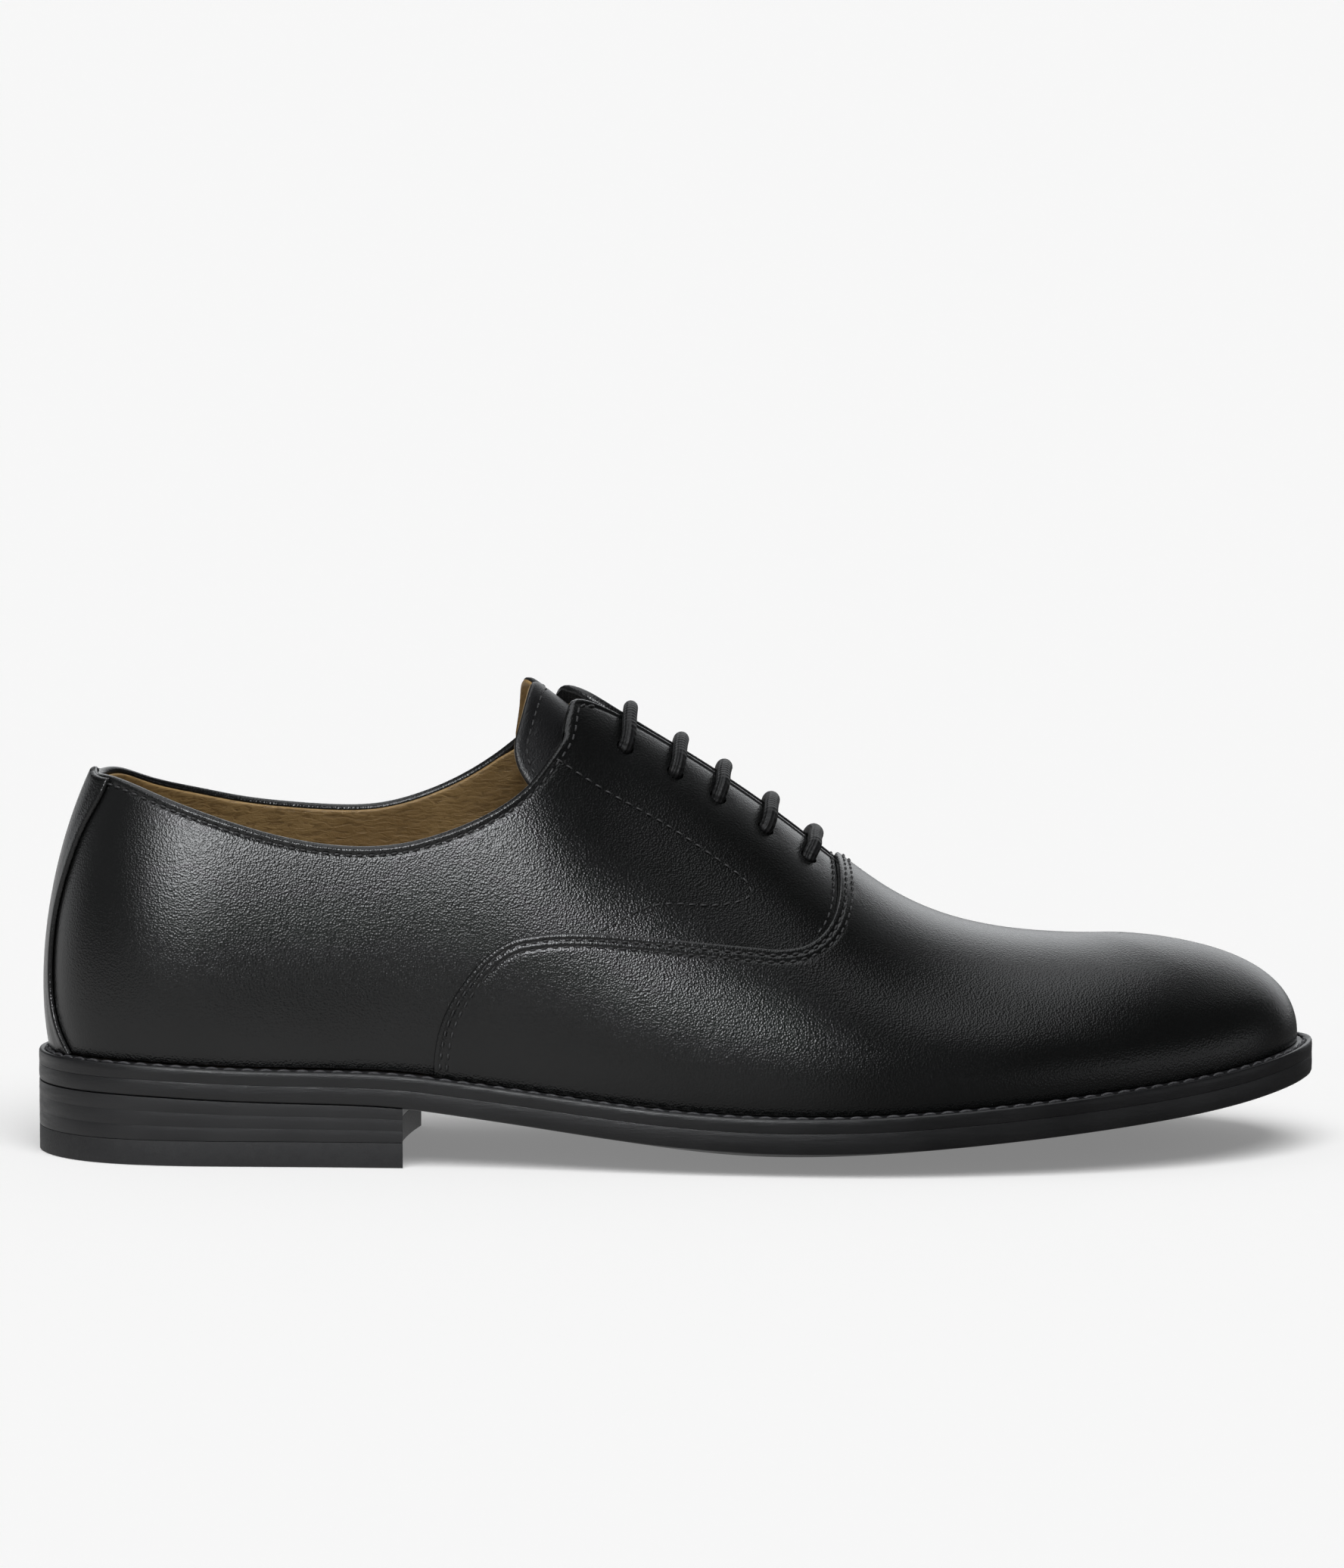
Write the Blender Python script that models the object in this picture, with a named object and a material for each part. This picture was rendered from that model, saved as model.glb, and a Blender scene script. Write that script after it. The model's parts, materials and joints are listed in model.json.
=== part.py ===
"""Leather oxford shoe, right foot: every piece is its own closed solid, toe +X, up +Z, lateral side -Y.

Lengths are in millimetres, with x from the back of the heel, until place() turns them into metres
about the centre of the heel's bottom face.
"""
import math

import bmesh
import bpy
import numpy as np
from mathutils import Vector

MM = 0.001
SHOE = "leather_oxford_shoe"
HEEL_CENTRE = 44.0
LATERAL, MEDIAL = -1, 1
SIDES = {"lateral": LATERAL, "medial": MEDIAL}

# Outer face of the upper in plan, anticlockwise from the back of the heel; point TOE_POINT is the toe.
PLAN = [(1.3, 0), (4.5, -13), (13, -22.8), (27, -28.6), (50, -30.6), (80, -31.6), (110, -34.6),
        (145, -41.8), (175, -46.6), (202, -48.4), (228, -46.4), (252, -41.4), (274, -32.4),
        (292.5, -17), (301.8, 6), (297.5, 20.5), (283, 35), (261, 45), (236, 49.2), (212, 49),
        (186, 44.6), (158, 37.6), (128, 30.4), (100, 27.6), (72, 28.6), (46, 29.6), (27, 28.4),
        (13, 22.8), (4.5, 13)]
TOE_POINT = 14

# The last: share of the length, crest x and z, then how far the section runs out and up from the
# foot, out from the crest, and down at that handle.
SECTIONS = [(0.00, 30, 118.0, 4.8, 26, 24.7, -24),
            (0.07, 31.5, 119.0, 5.2, 26, 23, -20),
            (0.16, 43, 124.0, 5.0, 28, 20, -10),
            (0.30, 82, 130.0, 5.0, 30, 20, -2),
            (0.40, 115, 123.5, 5.5, 31, 23.5, 0),
            (0.46, 134, 110.2, 5.5, 29, 22.5, 0),
            (0.53, 158, 95.0, 5.2, 25, 23, 0),
            (0.60, 182, 78.2, 5.0, 22, 24.5, 0),
            (0.66, 202, 63.0, 4.2, 20, 26.5, 0),
            (0.72, 220, 54.8, 3.5, 18, 28, 0),
            (0.80, 240, 51.4, 2.5, 17, 27, 0),
            (0.90, 253, 51.1, 1.5, 16.5, 24.5, -0.6),
            (1.00, 259, 51.1, 1.2, 17, 24, -1.1)]
CREST_SHIFT = 4.5
WELT_TOP = [(-2, 24.2), (25, 23.9), (50, 22.9), (75, 22.5), (88, 21.9), (100, 20.6), (117, 18.6),
            (144, 15.6), (172, 14.0), (198, 14.4), (230, 16.6), (262, 19.7), (288, 22.8), (306, 25.8)]

# Edges in side elevation (x, z); the facings end in plan (x, distance from the middle).
TOPLINE = {LATERAL: [(17, 91.5), (31.7, 86.7), (46.5, 81.6), (61.2, 77.7), (76, 76.0), (86.7, 76.7),
                     (97.7, 79.7), (109, 84.8), (117.6, 91.1), (123.2, 97.8), (126.2, 102.2)],
           MEDIAL: [(16.6, 91.4), (25.6, 87.9), (36.2, 85.2), (47, 82.9), (58, 81.5), (69, 80.7),
                    (80, 81), (91, 83.9), (102, 89.1), (110.6, 95), (117, 100.3), (122, 104.6)]}
HEEL_TOP = 0.695
HEEL_SEAM = 0.001
HEEL_EASE = 1.35
FACING = {LATERAL: [(128.8, 10.0), (132.3, 7.0), (138, 4.2), (146, 2.6), (160, 2.5), (180, 2.5),
                    (199, 2.5)],
          MEDIAL: [(126.0, 10.2), (129.5, 7.0), (134, 4.2), (142, 2.6), (160, 2.5), (180, 2.5),
                   (199, 2.5)]}
SEAM_REAR = [(94.5, 23), (96.5, 34), (101.9, 44), (108.3, 51.2), (114.2, 54.6)]
SEAM_ALONG = [(114.2, 54.6), (124, 56.1), (143, 55.6), (164, 53.7), (176, 52.5)]
SEAM_THROAT = [(176, 52.5), (181.5, 53.0), (186.6, 55.5), (190, 60.2), (191.3, 66)]
THROAT_X = 190.8
UNDERLAY_UP = [(104, 21), (105.5, 30), (109.5, 38.5), (114.5, 44), (121, 46.6)]
UNDERLAY_ALONG = [(121, 46.6), (143, 46.4), (164, 44.8), (177, 43.6), (188, 46), (196, 52.5)]
STAY_EDGE = [(123.7, 95.8), (136.6, 87.6), (148.5, 81.1), (160.1, 73.7), (166, 69.7), (170.5, 66),
             (176, 61), (184, 55.5)]
STRIP_EDGE = [(0.053, 0.0), (0.034, 0.12), (0.028, 0.25), (0.028, 0.36), (0.036, 0.47), (0.046, 0.56),
              (0.060, 0.64)]
EYELETS = [(140.7, 98.9), (152.6, 92.8), (162.9, 87.0), (174.3, 79.6), (184.7, 72.8)]

# Depths of the layers below the upper's outer face: outer face, inner face.
VAMP = (0.0, 1.2)
STRIP = (0.2, 1.2)
QUARTER = (1.6, 2.7)
PUFF = (1.6, 3.3)
STIFFENER = (3.1, 3.65)
LINING = (3.95, 4.75)
GRIP = (5.2, 5.8)
TONGUE = (7.3, 8.3)
TONGUE_LINING = (8.75, 9.45)

GAP = 0.3
WELT_THICK = 3.4
OUTSOLE_THICK = 4.5
HEEL_FLAT = 6.0
HEEL_LENGTH = 87.5
INSOLE_THICK = 2.4
SOCK_THICK = 0.9
HOLE_RADIUS = 2.15
EYELET_RADIUS = 3.1
LACE_RADIUS = 1.65
LACE_LIFT = -0.4
LACE_LEAN = 0.008
RUN_RADIUS = 0.75
RUN_DEPTH = 5.75
LACE_STEP = 2.6
RUN_SHIFT = 0.05
NAILS = [(10, 0), (30, -18), (30, 18), (66, -18), (66, 18)]
NAIL_RADIUS = 1.0
TONGUE_ROOT = 0.022
BALL = (212.0, 0.0, 8.0)


# ---------------------------------------------------------------- curves

def spline(knots, values, flat=False):
    """Cubic spline through values at knots, natural at its ends, or level there if flat."""
    k = np.asarray(knots, float)
    v = np.asarray(values, float).reshape(len(k), -1)
    n = len(k)
    h = np.diff(k)
    a = np.eye(n)
    b = np.zeros_like(v)
    rise = np.diff(v, axis=0) / h[:, None]
    for i in range(1, n - 1):
        a[i, i - 1:i + 2] = h[i - 1], 2 * (h[i - 1] + h[i]), h[i]
        b[i] = 6 * (rise[i] - rise[i - 1])
    if flat:
        a[0, :2] = 2 * h[0], h[0]
        a[-1, -2:] = h[-1], 2 * h[-1]
        b[0] = 6 * rise[0]
        b[-1] = -6 * rise[-1]
    m = np.linalg.solve(a, b)

    def at(x):
        x = np.asarray(x, float)
        i = np.clip(np.searchsorted(k, x) - 1, 0, n - 2)
        w = h[i][..., None]
        p = (x - k[i])[..., None]
        q = (k[i + 1] - x)[..., None]
        bend = (m[i] * q ** 3 + m[i + 1] * p ** 3) / (6 * w)
        return bend + (v[i] / w - m[i] * w / 6) * q + (v[i + 1] / w - m[i + 1] * w / 6) * p
    return at


def lengths(points):
    return np.r_[0, np.cumsum(np.linalg.norm(np.diff(points, axis=0), axis=1))]


def along(points, count):
    """count + 1 points evenly spaced on a smooth curve through points, in last coordinates."""
    p = np.array(points, float)
    s = lengths(p * (340, 90))
    curve = spline(s, p)
    fine = curve(np.linspace(0, s[-1], 400))
    d = lengths(fine * (340, 90))
    at = np.linspace(0, d[-1], count + 1)
    return np.stack([np.interp(at, d, fine[:, i]) for i in range(2)], 1)


def chain(*parts):
    """Joins runs of points that share their end points."""
    return np.concatenate([parts[0]] + [p[1:] for p in parts[1:]])


# ---------------------------------------------------------------- the last

def closed_plan():
    p = np.array(PLAN * 3, float)
    d = lengths(p)
    n = len(PLAN)
    return spline(d - d[n], p), d[n + TOE_POINT] - d[n], d[2 * n] - d[n]


OUTLINE, TOE_AT, ROUND = closed_plan()


def arc_table(start):
    s = np.linspace(start, TOE_AT, 1500)
    d = lengths(OUTLINE(s))
    return d / d[-1], s


ARCS = {LATERAL: arc_table(0.0), MEDIAL: arc_table(ROUND)}
TABLE = np.array(SECTIONS, float)
CREST = spline(TABLE[:, 0], TABLE[:, 1:3])
SHAPE = spline(TABLE[:, 0], TABLE[:, 3:], flat=True)
WELT_LINE = spline(*np.array(WELT_TOP, float).T)


def welt_z(x):
    return WELT_LINE(x)[..., 0]


def foot(side, u):
    """The upper's foot in plan at share u of the length, and the direction outwards."""
    share, s = ARCS[side]
    at = np.interp(u, share, s)
    d = OUTLINE(at + 0.05) - OUTLINE(at - 0.05)
    d /= np.linalg.norm(d, axis=-1, keepdims=True)
    return OUTLINE(at), np.stack([d[..., 1], -d[..., 0]], -1)


def last(side, u, t):
    """A point of the upper's outer face: u from heel to toe, t from the welt up to the crest."""
    u = np.asarray(u, float)
    t = np.asarray(t, float)[..., None]
    f, n = foot(side, u)
    zf = welt_z(f[..., 0]) + GAP
    crest = CREST(u)
    w = np.clip((u - 0.62) / 0.38, 0, 1)
    cy = CREST_SHIFT * w * w * (3 - 2 * w)
    out1, up1, out2, drop = np.moveaxis(SHAPE(u), -1, 0)
    step = CREST(u + 1e-3) - CREST(u - 1e-3)
    w = np.clip((u - 0.32) / 0.16, 0, 1)
    slope = w * w * (3 - 2 * w) * step[..., 1] / step[..., 0]
    p3 = np.stack([crest[..., 0], cy, crest[..., 1]], -1)
    away = f - p3[..., :2]
    away /= np.linalg.norm(away, axis=-1, keepdims=True)
    p0 = np.concatenate([f, zf[..., None]], -1)
    p1 = np.concatenate([f + n * out1[..., None], (zf + up1)[..., None]], -1)
    handle = np.stack([away[..., 0] * out2, away[..., 1] * out2, drop + slope * away[..., 0] * out2], -1)
    s = 1 - t
    return p0 * s ** 3 + p1 * 3 * t * s * s + (p3 + handle) * 3 * t * t * s + p3 * t ** 3


def normal(side, u, t):
    e = 1e-3
    u, t = np.broadcast_arrays(np.asarray(u, float), np.minimum(t, 0.99))
    across = last(side, np.clip(u + e, 0, 1), t) - last(side, np.clip(u - e, 0, 1), t)
    up = last(side, u, np.clip(t + e, 0, 1)) - last(side, u, np.clip(t - e, 0, 1))
    n = np.cross(across, up) * -side
    return n / np.linalg.norm(n, axis=-1, keepdims=True)


def below(side, uv, depth):
    """Points at a depth under the outer face; the two sides agree where they meet."""
    u, t = uv[..., 0], uv[..., 1]
    n = normal(side, u, t)
    shared = (u < 1e-6) | (u > 1 - 1e-6) | (t > 1 - 1e-6)
    n = np.where(shared[..., None], n + normal(-side, u, t), n)
    return last(side, u, t) - n / np.linalg.norm(n, axis=-1, keepdims=True) * depth


def locate(side, points, axes):
    """Last coordinates of points given by two of their coordinates."""
    gu, gt = np.meshgrid(np.linspace(0, 1, 161), np.linspace(0, 1, 81), indexing="ij")
    grid = last(side, gu, gt)[..., axes]
    found = []
    for goal in np.array(points, float):
        if axes == [0, 1]:
            goal = goal * (1, side)
        i = np.argmin(((grid - goal) ** 2).sum(-1))
        uv = np.array([gu.flat[i], gt.flat[i]])
        for _ in range(12):
            here = last(side, *uv)[axes]
            e = 1e-4
            over = (last(side, uv[0] + e, uv[1])[axes] - here) / e
            up = (last(side, uv[0], uv[1] + e)[axes] - here) / e
            step = np.linalg.lstsq(np.stack([over, up], 1), goal - here, rcond=None)[0]
            uv = np.clip(uv + np.clip(step, -0.03, 0.03), 0, 1)
        found.append(uv)
    return np.array(found)


def side_view(side, points):
    return locate(side, points, [0, 2])


def on_feather(side, x):
    """Share of the length at which the foot has this x, away from the heel's and toe's turns."""
    u = np.linspace(0, 1, 1001)
    return float(np.interp(x, foot(side, u)[0][:, 0], u))


# ---------------------------------------------------------------- solids

def place(points):
    return (np.asarray(points, float) - (HEEL_CENTRE, 0, 0)) * MM


def material(name, colour, roughness, metallic=0.0):
    made = bpy.data.materials.new(name)
    made.use_nodes = True
    shader = made.node_tree.nodes["Principled BSDF"]
    shader.inputs["Base Color"].default_value = (*colour, 1)
    shader.inputs["Roughness"].default_value = roughness
    shader.inputs["Metallic"].default_value = metallic
    made.diffuse_color = (*colour, 1)
    return made


def add(name, mesh, group, look=None, smooth=True):
    thing = bpy.data.objects.new(name, mesh)
    group.objects.link(thing)
    if look:
        mesh.materials.append(look)
    if smooth:
        mesh.shade_smooth()
    return thing


def mesh_of(name, verts, faces):
    """A mesh in metres with shared points merged and collapsed faces dropped."""
    bm = bmesh.new()
    made = [bm.verts.new(v) for v in place(verts)]
    for face in faces:
        bm.faces.new([made[i] for i in face])
    bmesh.ops.remove_doubles(bm, verts=bm.verts, dist=2e-6)
    bmesh.ops.recalc_face_normals(bm, faces=bm.faces)
    mesh = bpy.data.meshes.new(name)
    bm.to_mesh(mesh)
    bm.free()
    return mesh


def sheet(name, sides, depth, group, look):
    """A leather sheet: grids of last coordinates, one for each side it covers, thickened inwards."""
    outer, inner, faces = [], [], []
    for side, uv in sides:
        start = sum(len(o) for o in outer)
        n, m = uv.shape[:2]
        outer.append(below(side, uv, depth[0]).reshape(-1, 3))
        inner.append(below(side, uv, depth[1]).reshape(-1, 3))
        for i in range(n - 1):
            for j in range(m - 1):
                a = start + i * m + j
                faces.append((a, a + m, a + m + 1, a + 1)[::side])
    outer, inner = np.concatenate(outer), np.concatenate(inner)
    same = weld(outer)
    clean = []
    for face in faces:
        ring = [same[i] for i in face]
        ring = [v for k, v in enumerate(ring) if v != ring[k - 1]]
        if len(ring) > 2:
            clean.append(tuple(ring))
    total = len(outer)
    edges = {}
    for face in clean:
        for a, b in zip(face, face[1:] + face[:1]):
            edges[(a, b)] = True
    shell = clean + [tuple(v + total for v in face[::-1]) for face in clean]
    shell += [(b, a, a + total, b + total) for a, b in edges if (b, a) not in edges]
    return add(name, mesh_of(name, np.concatenate([outer, inner]), shell), group, look)


def weld(points):
    """For each point, the first point that lies in the same place."""
    seen = {}
    return [seen.setdefault(tuple(np.round(p, 3)), i) for i, p in enumerate(points)]


def ruled(bottom, top, rows, lean=1.0):
    """A grid of rows between two runs, closer together towards the top if lean is over 1."""
    w = 1 - (1 - np.linspace(0, 1, rows + 1)[None, :, None]) ** lean
    return bottom[:, None] * (1 - w) + top[:, None] * w


def flat_run(u0, u1, count, t=0.0, ease=1.0):
    """A run at one height, closer together at its start if ease is over 1."""
    u = u0 + (u1 - u0) * np.linspace(0, 1, count + 1) ** ease
    return np.stack([u, np.full_like(u, t)], 1)


# ---------------------------------------------------------------- regions of the upper

def top_edge(side, counts):
    """Topline from the heel, round the corner and down the facing."""
    rise = side_view(side, TOPLINE[side])
    rise = np.concatenate([[(HEEL_SEAM, HEEL_TOP)], rise])
    corner = locate(side, FACING[side], [0, 1])
    whole = along(np.concatenate([rise, corner]), 400)
    turn = np.searchsorted(whole[:, 0], on_feather(side, 101))
    bend = np.searchsorted(whole[:, 0], corner[1, 0])
    runs = whole[:turn + 1], whole[turn:bend + 1], whole[bend:]
    return chain(*[resample(run, n, ease) for run, n, ease in zip(runs, counts, (HEEL_EASE, 1, 1))])


def resample(run, count, ease=1.0):
    d = lengths(run * (340, 90))
    at = np.linspace(0, 1, count + 1) ** ease * d[-1]
    return np.stack([np.interp(at, d, run[:, i]) for i in range(2)], 1)


def quarter_region(side, counts, rows):
    up = side_view(side, UNDERLAY_UP)
    up[0, 1] = 0
    level = side_view(side, UNDERLAY_ALONG)
    top = top_edge(side, counts)
    level = np.concatenate([level, [(top[-1, 0] - 0.001, 0.80)]])
    start = flat_run(HEEL_SEAM, up[0, 0], counts[0], 0, HEEL_EASE)
    bottom = chain(start, along(up, counts[1]), along(level, counts[2]))
    return ruled(bottom, top, rows, 1.25)


def vamp_region(side, counts, rows):
    rear = side_view(side, SEAM_REAR)
    rear[0, 1] = 0
    seam = side_view(side, SEAM_ALONG)
    throat = side_view(side, SEAM_THROAT)
    end = throat_u()
    throat = np.concatenate([throat, [(end, 1.0)]])
    top = chain(along(rear, counts[0]), along(seam, counts[1]), along(throat, counts[2]),
                flat_run(end, 1.0, counts[3], 1.0))
    cuts = [rear[0, 0], on_feather(side, 115), on_feather(side, 172), on_feather(side, 196), 1.0]
    bottom = chain(*[flat_run(a, b, n) for a, b, n in zip(cuts, cuts[1:], counts)])
    return ruled(bottom, top, rows, 1.15)


def throat_u():
    u = np.linspace(0.5, 0.8, 601)
    return float(np.interp(THROAT_X, CREST(u)[:, 0], u))


def lining_region(side, counts, rows):
    """Vamp lining: from the end of the quarter lining forward."""
    up = side_view(side, UNDERLAY_UP) + (0.004, 0)
    up[0, 1] = 0
    level = side_view(side, UNDERLAY_ALONG) + (0.002, -0.012)
    end = throat_u() + 0.045
    front = np.concatenate([level[-1:], [(end - 0.006, 0.75), (end, 1.0)]])
    top = chain(along(up, counts[0]), along(level, counts[1]), along(front, counts[2]),
                flat_run(end, 1, counts[3], 1.0))
    cuts = [up[0, 0], on_feather(side, 124), on_feather(side, 188), on_feather(side, 206), 1.0]
    bottom = chain(*[flat_run(a, b, n) for a, b, n in zip(cuts, cuts[1:], counts)])
    return ruled(bottom, top, rows)


def stay_region(side, count, rows):
    low = along(side_view(side, STAY_EDGE), count)
    edge = top_edge(side, (14, 40, 120))
    first = np.argmin(np.abs(edge[:, 0] - low[0, 0] + 0.004))
    last_one = np.argmin(np.abs(edge[:, 0] - low[-1, 0] - 0.004))
    high = resample(edge[first:last_one + 1], count)
    return ruled(low, high, rows)


def make_upper(group, looks):
    for word, side in SIDES.items():
        grid = quarter_region(side, (15, 6, 12), 9)
        sheet(f"quarter_{word}", [(side, grid)], QUARTER, group, looks["leather"])
        coarse = quarter_region(side, (13, 5, 10), 7)
        sheet(f"quarter_lining_{word}", [(side, coarse)], LINING, group, looks["lining"])
        stay = stay_region(side, 11, 5)
        sheet(f"facing_stay_{word}", [(side, stay)], STIFFENER, group, looks["canvas"])
    both = [(s, vamp_region(s, (5, 8, 6, 15), 10)) for s in SIDES.values()]
    sheet("vamp", both, VAMP, group, looks["leather"])
    both = [(s, lining_region(s, (4, 6, 3, 11), 6)) for s in SIDES.values()]
    sheet("vamp_lining", both, LINING, group, looks["canvas"])
    toe = ruled(flat_run(0.83, 1, 8), flat_run(0.83, 1, 8, 0.78), 5)
    toe[:, 0, 1] = 0.02
    puff = sheet("toe_puff", [(s, toe) for s in SIDES.values()], PUFF, group, looks["board"])
    put_origin(puff, BALL)
    share = np.linspace(0, 1, 11) ** HEEL_EASE
    high = np.stack([share * 0.17, 0.50 - 0.20 * share], 1)
    cup = ruled(flat_run(0, 0.17, 10, 0.03, HEEL_EASE), high, 5)
    sheet("heel_counter", [(s, cup) for s in SIDES.values()], STIFFENER, group, looks["board"])
    high = np.stack([share * 0.12, 0.63 - 0.10 * share], 1)
    grip = ruled(flat_run(0, 0.12, 10, 0.10, HEEL_EASE), high, 6)
    sheet("heel_grip", [(s, grip) for s in SIDES.values()], GRIP, group, looks["lining"])
    edge = along(STRIP_EDGE, 8)
    rise = (HEEL_TOP - edge[-1, 1]) * (edge[:, 1] / edge[-1, 1]) ** 6
    middle = np.stack([np.zeros(9), edge[:, 1] + rise], 1)
    strip = ruled(middle, edge, 3)
    sheet("back_strip", [(s, strip) for s in SIDES.values()], STRIP, group, looks["leather"])


def tongue_region(side, count, rows):
    centre = flat_run(throat_u() + TONGUE_ROOT, 0.4255, count, 1.0)
    edge = along([(0.640, 0.68), (0.556, 0.575), (0.482, 0.54), (0.437, 0.542), (0.405, 0.558),
                  (0.388, 0.600), (0.387, 0.640), (0.391, 0.675)], count)
    grid = ruled(edge, centre, rows)
    w = np.linspace(0, 1, rows + 1)
    lift = np.linspace(0, 1, count + 1)[:, None] ** 4
    grid[..., 0] -= 0.003 * side * lift * np.sin(math.pi * w)[None, :]
    return grid


def make_tongue(group, looks):
    both = [(s, tongue_region(s, 14, 6)) for s in SIDES.values()]
    root = np.array([throat_u() + TONGUE_ROOT, 1.0])
    hinge = below(LATERAL, root, TONGUE[1]) * (1, 0, 1)
    put_origin(sheet("tongue", both, TONGUE, group, looks["leather"]), hinge)
    put_origin(sheet("tongue_lining", both, TONGUE_LINING, group, looks["lining"]), hinge)


# ---------------------------------------------------------------- the bottom

def rim(side, u, out):
    f, n = foot(side, u)
    return f + n * np.asarray(out)[..., None]


def projection(u):
    """How far the welt stands out from the upper."""
    return spline([0, 0.12, 0.3, 0.6, 1], [2.2, 2.2, 3.2, 3.8, 3.6])(u)[..., 0]


def slab(name, out, top, bottom, group, look, shares, rows=4, crown=None):
    """A layer of the bottom: an outline moved outwards, between two heights that depend on x."""
    u = np.asarray(shares, float)
    w = np.linspace(-1, 1, rows + 1)
    left, right = rim(LATERAL, u, out(u)), rim(MEDIAL, u, out(u))
    plan = left[:, None] * (1 - w)[None, :, None] / 2 + right[:, None] * (1 + w)[None, :, None] / 2
    x = plan[..., 0]
    dip = crown(x) * (1 - w[None, :] ** 2) if crown else 0
    high = np.concatenate([plan, top(x)[..., None]], -1).reshape(-1, 3)
    low = np.concatenate([plan, (bottom(x) - dip)[..., None]], -1).reshape(-1, 3)
    n, m = x.shape
    faces = []
    for i in range(n - 1):
        for j in range(m - 1):
            a = i * m + j
            faces.append((a, a + m, a + m + 1, a + 1))
    same = weld(high)
    clean = []
    for face in faces:
        ring = [same[i] for i in face]
        ring = [v for k, v in enumerate(ring) if v != ring[k - 1]]
        if len(ring) > 2:
            clean.append(tuple(ring))
    edges = {(a, b) for face in clean for a, b in zip(face, face[1:] + face[:1])}
    total = len(high)
    shell = clean + [tuple(v + total for v in face[::-1]) for face in clean]
    shell += [(b, a, a + total, b + total) for a, b in edges if (b, a) not in edges]
    return add(name, mesh_of(name, np.concatenate([high, low]), shell), group, look, smooth=False)


def crown(x):
    """How much lower the sole's middle is than its edges."""
    dip = spline([0, 90, 120, 165, 205, 250, 306], [0, 0, 1.6, 5.2, 5.0, 3.6, 1.0])
    return dip(np.clip(x, 0, 306))[..., 0]


def sole_bottom(x):
    thin = spline([0, 60, 120, 306], [0.7, 0.5, 0, 0])(x)[..., 0]
    return welt_z(x) - WELT_THICK - GAP - OUTSOLE_THICK + thin


def even(count):
    """Shares of the length, closer together towards both ends."""
    s = np.linspace(0, 1, count + 1)
    return s - np.sin(2 * math.pi * s) / (2 * math.pi) * 0.45


def over_welt(height):
    """A surface at a height over the welt's upper face."""
    return lambda x: welt_z(x) + height


def make_bottom(group, looks):
    upper = over_welt(-WELT_THICK - GAP)
    slab("outsole", projection, upper, sole_bottom, group, looks["rubber"], even(34), 6, crown)
    make_welt(group, looks["welt"])
    base = 2 * GAP
    inside = -LINING[1] - GAP - 0.7
    board = base + INSOLE_THICK
    slab("insole", lambda u: 0 * u + inside, over_welt(board), over_welt(base), group,
         looks["board"], even(24), 2)
    slab("sock_lining", lambda u: 0 * u + inside - GAP, over_welt(board + GAP + SOCK_THICK),
         over_welt(board + GAP), group, looks["lining"], even(24), 2)
    front = np.linspace(on_feather(LATERAL, 100), 0.985, 17)
    return slab("cork_filler", lambda u: 0 * u - 8.2, over_welt(0), over_welt(0.1 - WELT_THICK),
                group, looks["cork"], front, 2)


def make_welt(group, look):
    u = even(36)
    ring = []
    for side, shares in ((LATERAL, u), (MEDIAL, u[::-1][1:-1])):
        outer, inner = rim(side, shares, projection(shares)), rim(side, shares, 0 * shares - 7.4)
        for o, i in zip(outer, inner):
            top, under = welt_z(o[0]), welt_z(o[0]) - WELT_THICK
            ring.append([(*o, top), (*i, welt_z(i[0])), (*i, welt_z(i[0]) - WELT_THICK), (*o, under)])
    verts = np.array(ring).reshape(-1, 3)
    mesh = mesh_of("welt", verts, bands(len(ring), 4, closed=True))
    return add("welt", mesh, group, look, smooth=False)


def heel_layer(name, top, bottom, group, look):
    """A layer of the heel: the sole's outline cut off by a slightly hollow breast."""
    u = np.r_[np.linspace(0, 0.2, 13), on_feather(LATERAL, HEEL_LENGTH - 14)]
    left = rim(LATERAL, u, projection(u) - 0.1)
    u2 = np.r_[np.linspace(0, 0.2, 13)[1:], on_feather(MEDIAL, HEEL_LENGTH - 14)]
    right = rim(MEDIAL, u2, projection(u2) - 0.1)
    breast = []
    for w in np.linspace(-1, 1, 7):
        y = left[-1, 1] * (1 - w) / 2 + right[-1, 1] * (1 + w) / 2
        breast.append((HEEL_LENGTH - 2.5 * (1 - w * w), y * 1.02))
    loop = np.concatenate([left, breast, right[::-1]])
    n = len(loop)
    high = np.concatenate([loop, top(loop[:, :1])], 1)
    low = np.concatenate([loop, bottom(loop[:, :1])], 1)
    faces = [(i, (i + 1) % n, n + (i + 1) % n, n + i) for i in range(n)]
    faces += strips(n, 0) + [f[::-1] for f in strips(n, n)]
    return add(name, mesh_of(name, np.concatenate([high, low]), faces), group, look, smooth=False)


def strips(n, start):
    """Caps a ring that is symmetric about its first point with bands from side to side."""
    faces = [(start, start + n - 1, start + 1)]
    i, j = 1, n - 1
    while j - i > 2:
        faces.append((start + i, start + j, start + j - 1, start + i + 1))
        i += 1
        j -= 1
    if j - i == 2:
        faces.append((start + i, start + j, start + i + 1))
    return faces


def make_heel(group, looks):
    def level(share):
        return lambda x: HEEL_FLAT + GAP + (sole_bottom(x) - GAP - HEEL_FLAT - GAP) * share
    heel_layer("heel_top_piece", lambda x: 0 * x + HEEL_FLAT, lambda x: 0 * x, group, looks["rubber"])
    for i in range(3):
        low, high = level(i / 3), level((i + 1) / 3)
        gap = GAP if i < 2 else 0
        heel_layer(f"heel_lift_{i + 1}", lambda x: high(x) - gap, low, group, looks["stack"])


# ---------------------------------------------------------------- fittings

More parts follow.
